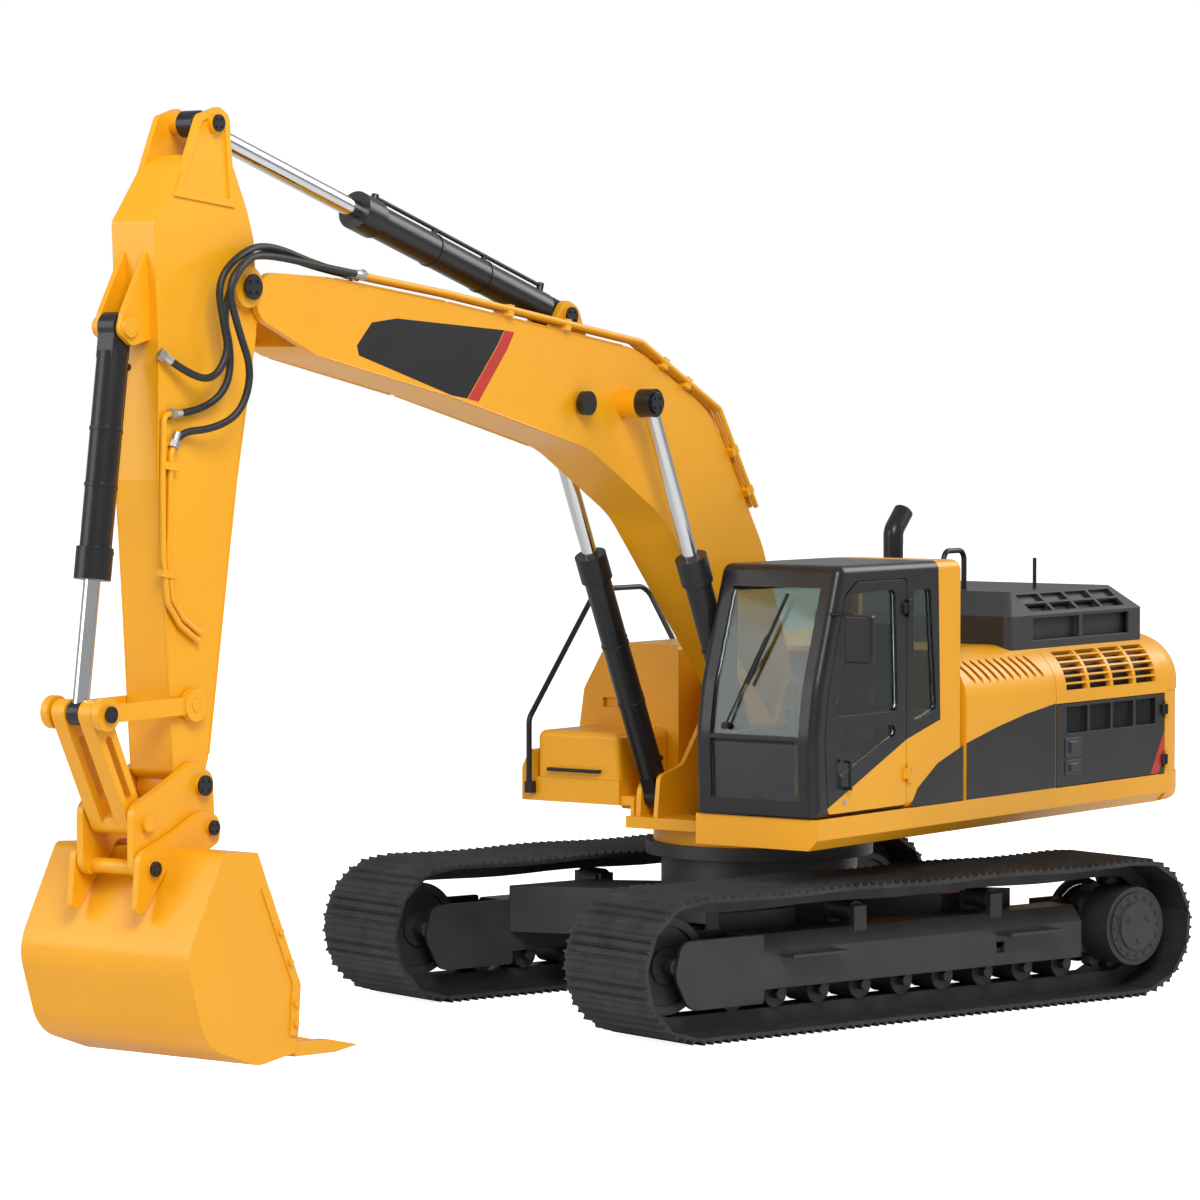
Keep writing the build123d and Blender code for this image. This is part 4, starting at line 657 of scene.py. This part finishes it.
def addWiper():
    def build(bm):
        addRod(bm, *wiper["arm"], wiper["armRadius"], wiper["armSides"])
        addRod(bm, *wiper["blade"], wiper["bladeRadius"], wiper["bladeSides"])
        x, y, z = wiper["arm"][0]
        start, stop = (x - wiper["bossIn"], y, z), (x + wiper["bossOut"], y, z)
        addRod(bm, start, stop, wiper["boss"], wiper["bossSides"])
    addPiece("wiper", "upper", "blackPaint", build)


addWiper()

# glass of the mirror
mirror = {"low": (1.386, 1.655, 2.475), "high": (1.389, 1.845, 2.765)}
addPiece("mirrorGlass", "upper", "chromeRod", lambda bm: addBlock(bm, mirror["low"], mirror["high"]))

# bar handle on the storage lid
lidBar = {"x": 0.822, "z": 1.585, "low": -1.245, "high": -0.80, "radius": 0.013, "sides": 14, "foot": 0.012,
          "footSides": 12, "inset": 0.012, "face": 0.786, "past": 0.006, "round": 0.001}


def addLidBar():
    def build(bm):
        x, z = lidBar["x"], lidBar["z"]
        addRod(bm, (x, lidBar["low"], z), (x, lidBar["high"], z), lidBar["radius"], lidBar["sides"])
        for y in (lidBar["low"] + lidBar["inset"], lidBar["high"] - lidBar["inset"]):
            start, stop = (lidBar["face"], y, z), (x + lidBar["past"], y, z)
            addRod(bm, start, stop, lidBar["foot"], lidBar["footSides"])
    addPiece("lidHandle", "storage_lid", "blackPaint", build, lidBar["round"])


addLidBar()

# filler cap on the tank
filler = {"at": (-0.55, -0.86, 2.45), "sink": 0.002, "height": 0.05, "radius": 0.065, "sides": 28,
          "round": 0.006}


def addFiller():
    def build(bm):
        x, y, z = filler["at"]
        start, stop = (x, y, z - filler["sink"]), (x, y, z + filler["height"])
        addRod(bm, start, stop, filler["radius"], filler["sides"])
    addPiece("fillerCap", "upper", "blackPaint", build, filler["round"])


addFiller()
print("small parts on")


# wear strips and edge plates of the bucket, measured from the stick's tip
digger = {
    "strips": [(-0.52, -0.46), (-0.03, 0.03), (0.46, 0.52)],
    "stripThick": 0.030,
    "back": [(0.56, -0.93), (0.50, -1.24), (0.39, -1.42), (0.22, -1.53), (0.0, -1.605), (-0.30, -1.592)],
    "edge": [(-0.10, -0.60), (-0.34, -1.10), (-0.385, -1.19), (-0.36, -1.50)],
    "edgeWide": (0.075, 0.01),
    "half": 0.66,
    "sink": 0.001,
    "lift": 0.011,
    "bolts": [(-0.19, -0.86), (-0.28, -1.05), (-0.33, -1.30), (-0.33, -1.42)],
    "boltHeight": 0.030,
    "boltSize": 0.022,
    "boltSides": 6,
    "round": 0.002,
}


def addStrips(bm, tip):
    for low, high in digger["strips"]:
        for (x0, z0), (x1, z1) in zip(digger["back"], digger["back"][1:]):
            run = Vector((x1 - x0, 0, z1 - z0)).normalized()
            outX, outZ = -run.z * digger["stripThick"], run.x * digger["stripThick"]
            corners = [(x0, z0), (x1, z1), (x1 + outX, z1 + outZ), (x0 + outX, z0 + outZ)]
            addPlate(bm, corners, low, high, tip)


def addEdges(bm, tip):
    wideX, wideZ = digger["edgeWide"]
    line = digger["edge"]
    inner = [(x + wideX, z + wideZ) for x, z in reversed(line)]
    half = digger["half"]
    for side in (-1, 1):
        near, far = sorted((side * (half - digger["sink"]), side * (half + digger["lift"])))
        addPlate(bm, line + inner, near, far, tip)
        for x, z in digger["bolts"]:
            start, stop = (x, side * half, z), (x, side * (half + digger["boltHeight"]), z)
            addRod(bm, start, stop, digger["boltSize"], digger["boltSides"], tip)


def addDiggerTrim():
    tip = Matrix.Translation((tipPin.x, 0, tipPin.z))

    def build(bm):
        addStrips(bm, tip)
        addEdges(bm, tip)
    addPiece("diggerTrim", "bucket_and_coupler", "yellowPaint", build, digger["round"])


addDiggerTrim()
print("bucket dressed")


# floor, lamps and the pale surround
room = {"floorSize": 160, "worldTone": 0.42, "backTone": 1.0, "floorLift": 0.9,
        "floorTone": (0.86, 0.86, 0.86)}


def addFloor():
    mesh = bpy.data.meshes.new("floor")
    half = room["floorSize"] / 2
    corners = [(-half, -half, 0), (half, -half, 0), (half, half, 0), (-half, half, 0)]
    mesh.from_pydata(corners, [], [(0, 1, 2, 3)])
    floor = bpy.data.objects.new("floor", mesh)
    scene.collection.objects.link(floor)
    material, tree, shader = newMaterial("paleFloor")
    shader.inputs["Base Color"].default_value = (*room["floorTone"], 1)
    shader.inputs["Roughness"].default_value = 0.85
    shader.inputs["Emission Color"].default_value = (1, 1, 1, 1)
    ray = tree.nodes.new("ShaderNodeLightPath")
    lift = tree.nodes.new("ShaderNodeMath")
    lift.operation = "MULTIPLY"
    lift.inputs[1].default_value = room["floorLift"]
    tree.links.new(ray.outputs["Is Camera Ray"], lift.inputs[0])
    tree.links.new(lift.outputs[0], shader.inputs["Emission Strength"])
    mesh.materials.append(material)


def addWorld():
    world = bpy.data.worlds.new("studio")
    world.use_nodes = True
    tree = world.node_tree
    back = tree.nodes["Background"]
    ray = tree.nodes.new("ShaderNodeLightPath")
    pick = tree.nodes.new("ShaderNodeMix")
    pick.data_type = "FLOAT"
    pick.inputs["A"].default_value = room["worldTone"]
    pick.inputs["B"].default_value = room["backTone"]
    tree.links.new(ray.outputs["Is Camera Ray"], pick.inputs["Factor"])
    back.inputs["Color"].default_value = (1, 1, 1, 1)
    tree.links.new(pick.outputs["Result"], back.inputs["Strength"])
    scene.world = world


lampAim = (1.5, 0, 1.8)
lampSet = {
    "key": {"place": (14, 12, 16), "size": 9, "power": 3100},
    "fill": {"place": (18, -9, 8), "size": 10, "power": 850},
    "rear": {"place": (-14, 8, 12), "size": 10, "power": 1400},
}


def addLamps():
    for name, lamp in lampSet.items():
        data = bpy.data.lights.new(name, "AREA")
        data.size = lamp["size"]
        data.energy = lamp["power"]
        holder = bpy.data.objects.new(name, data)
        holder.location = lamp["place"]
        aim = Vector(lampAim) - Vector(lamp["place"])
        holder.rotation_euler = aim.to_track_quat("-Z", "Y").to_euler()
        scene.collection.objects.link(holder)


addFloor()
addWorld()
addLamps()
scene.view_settings.view_transform = "Standard"
print("studio ready")
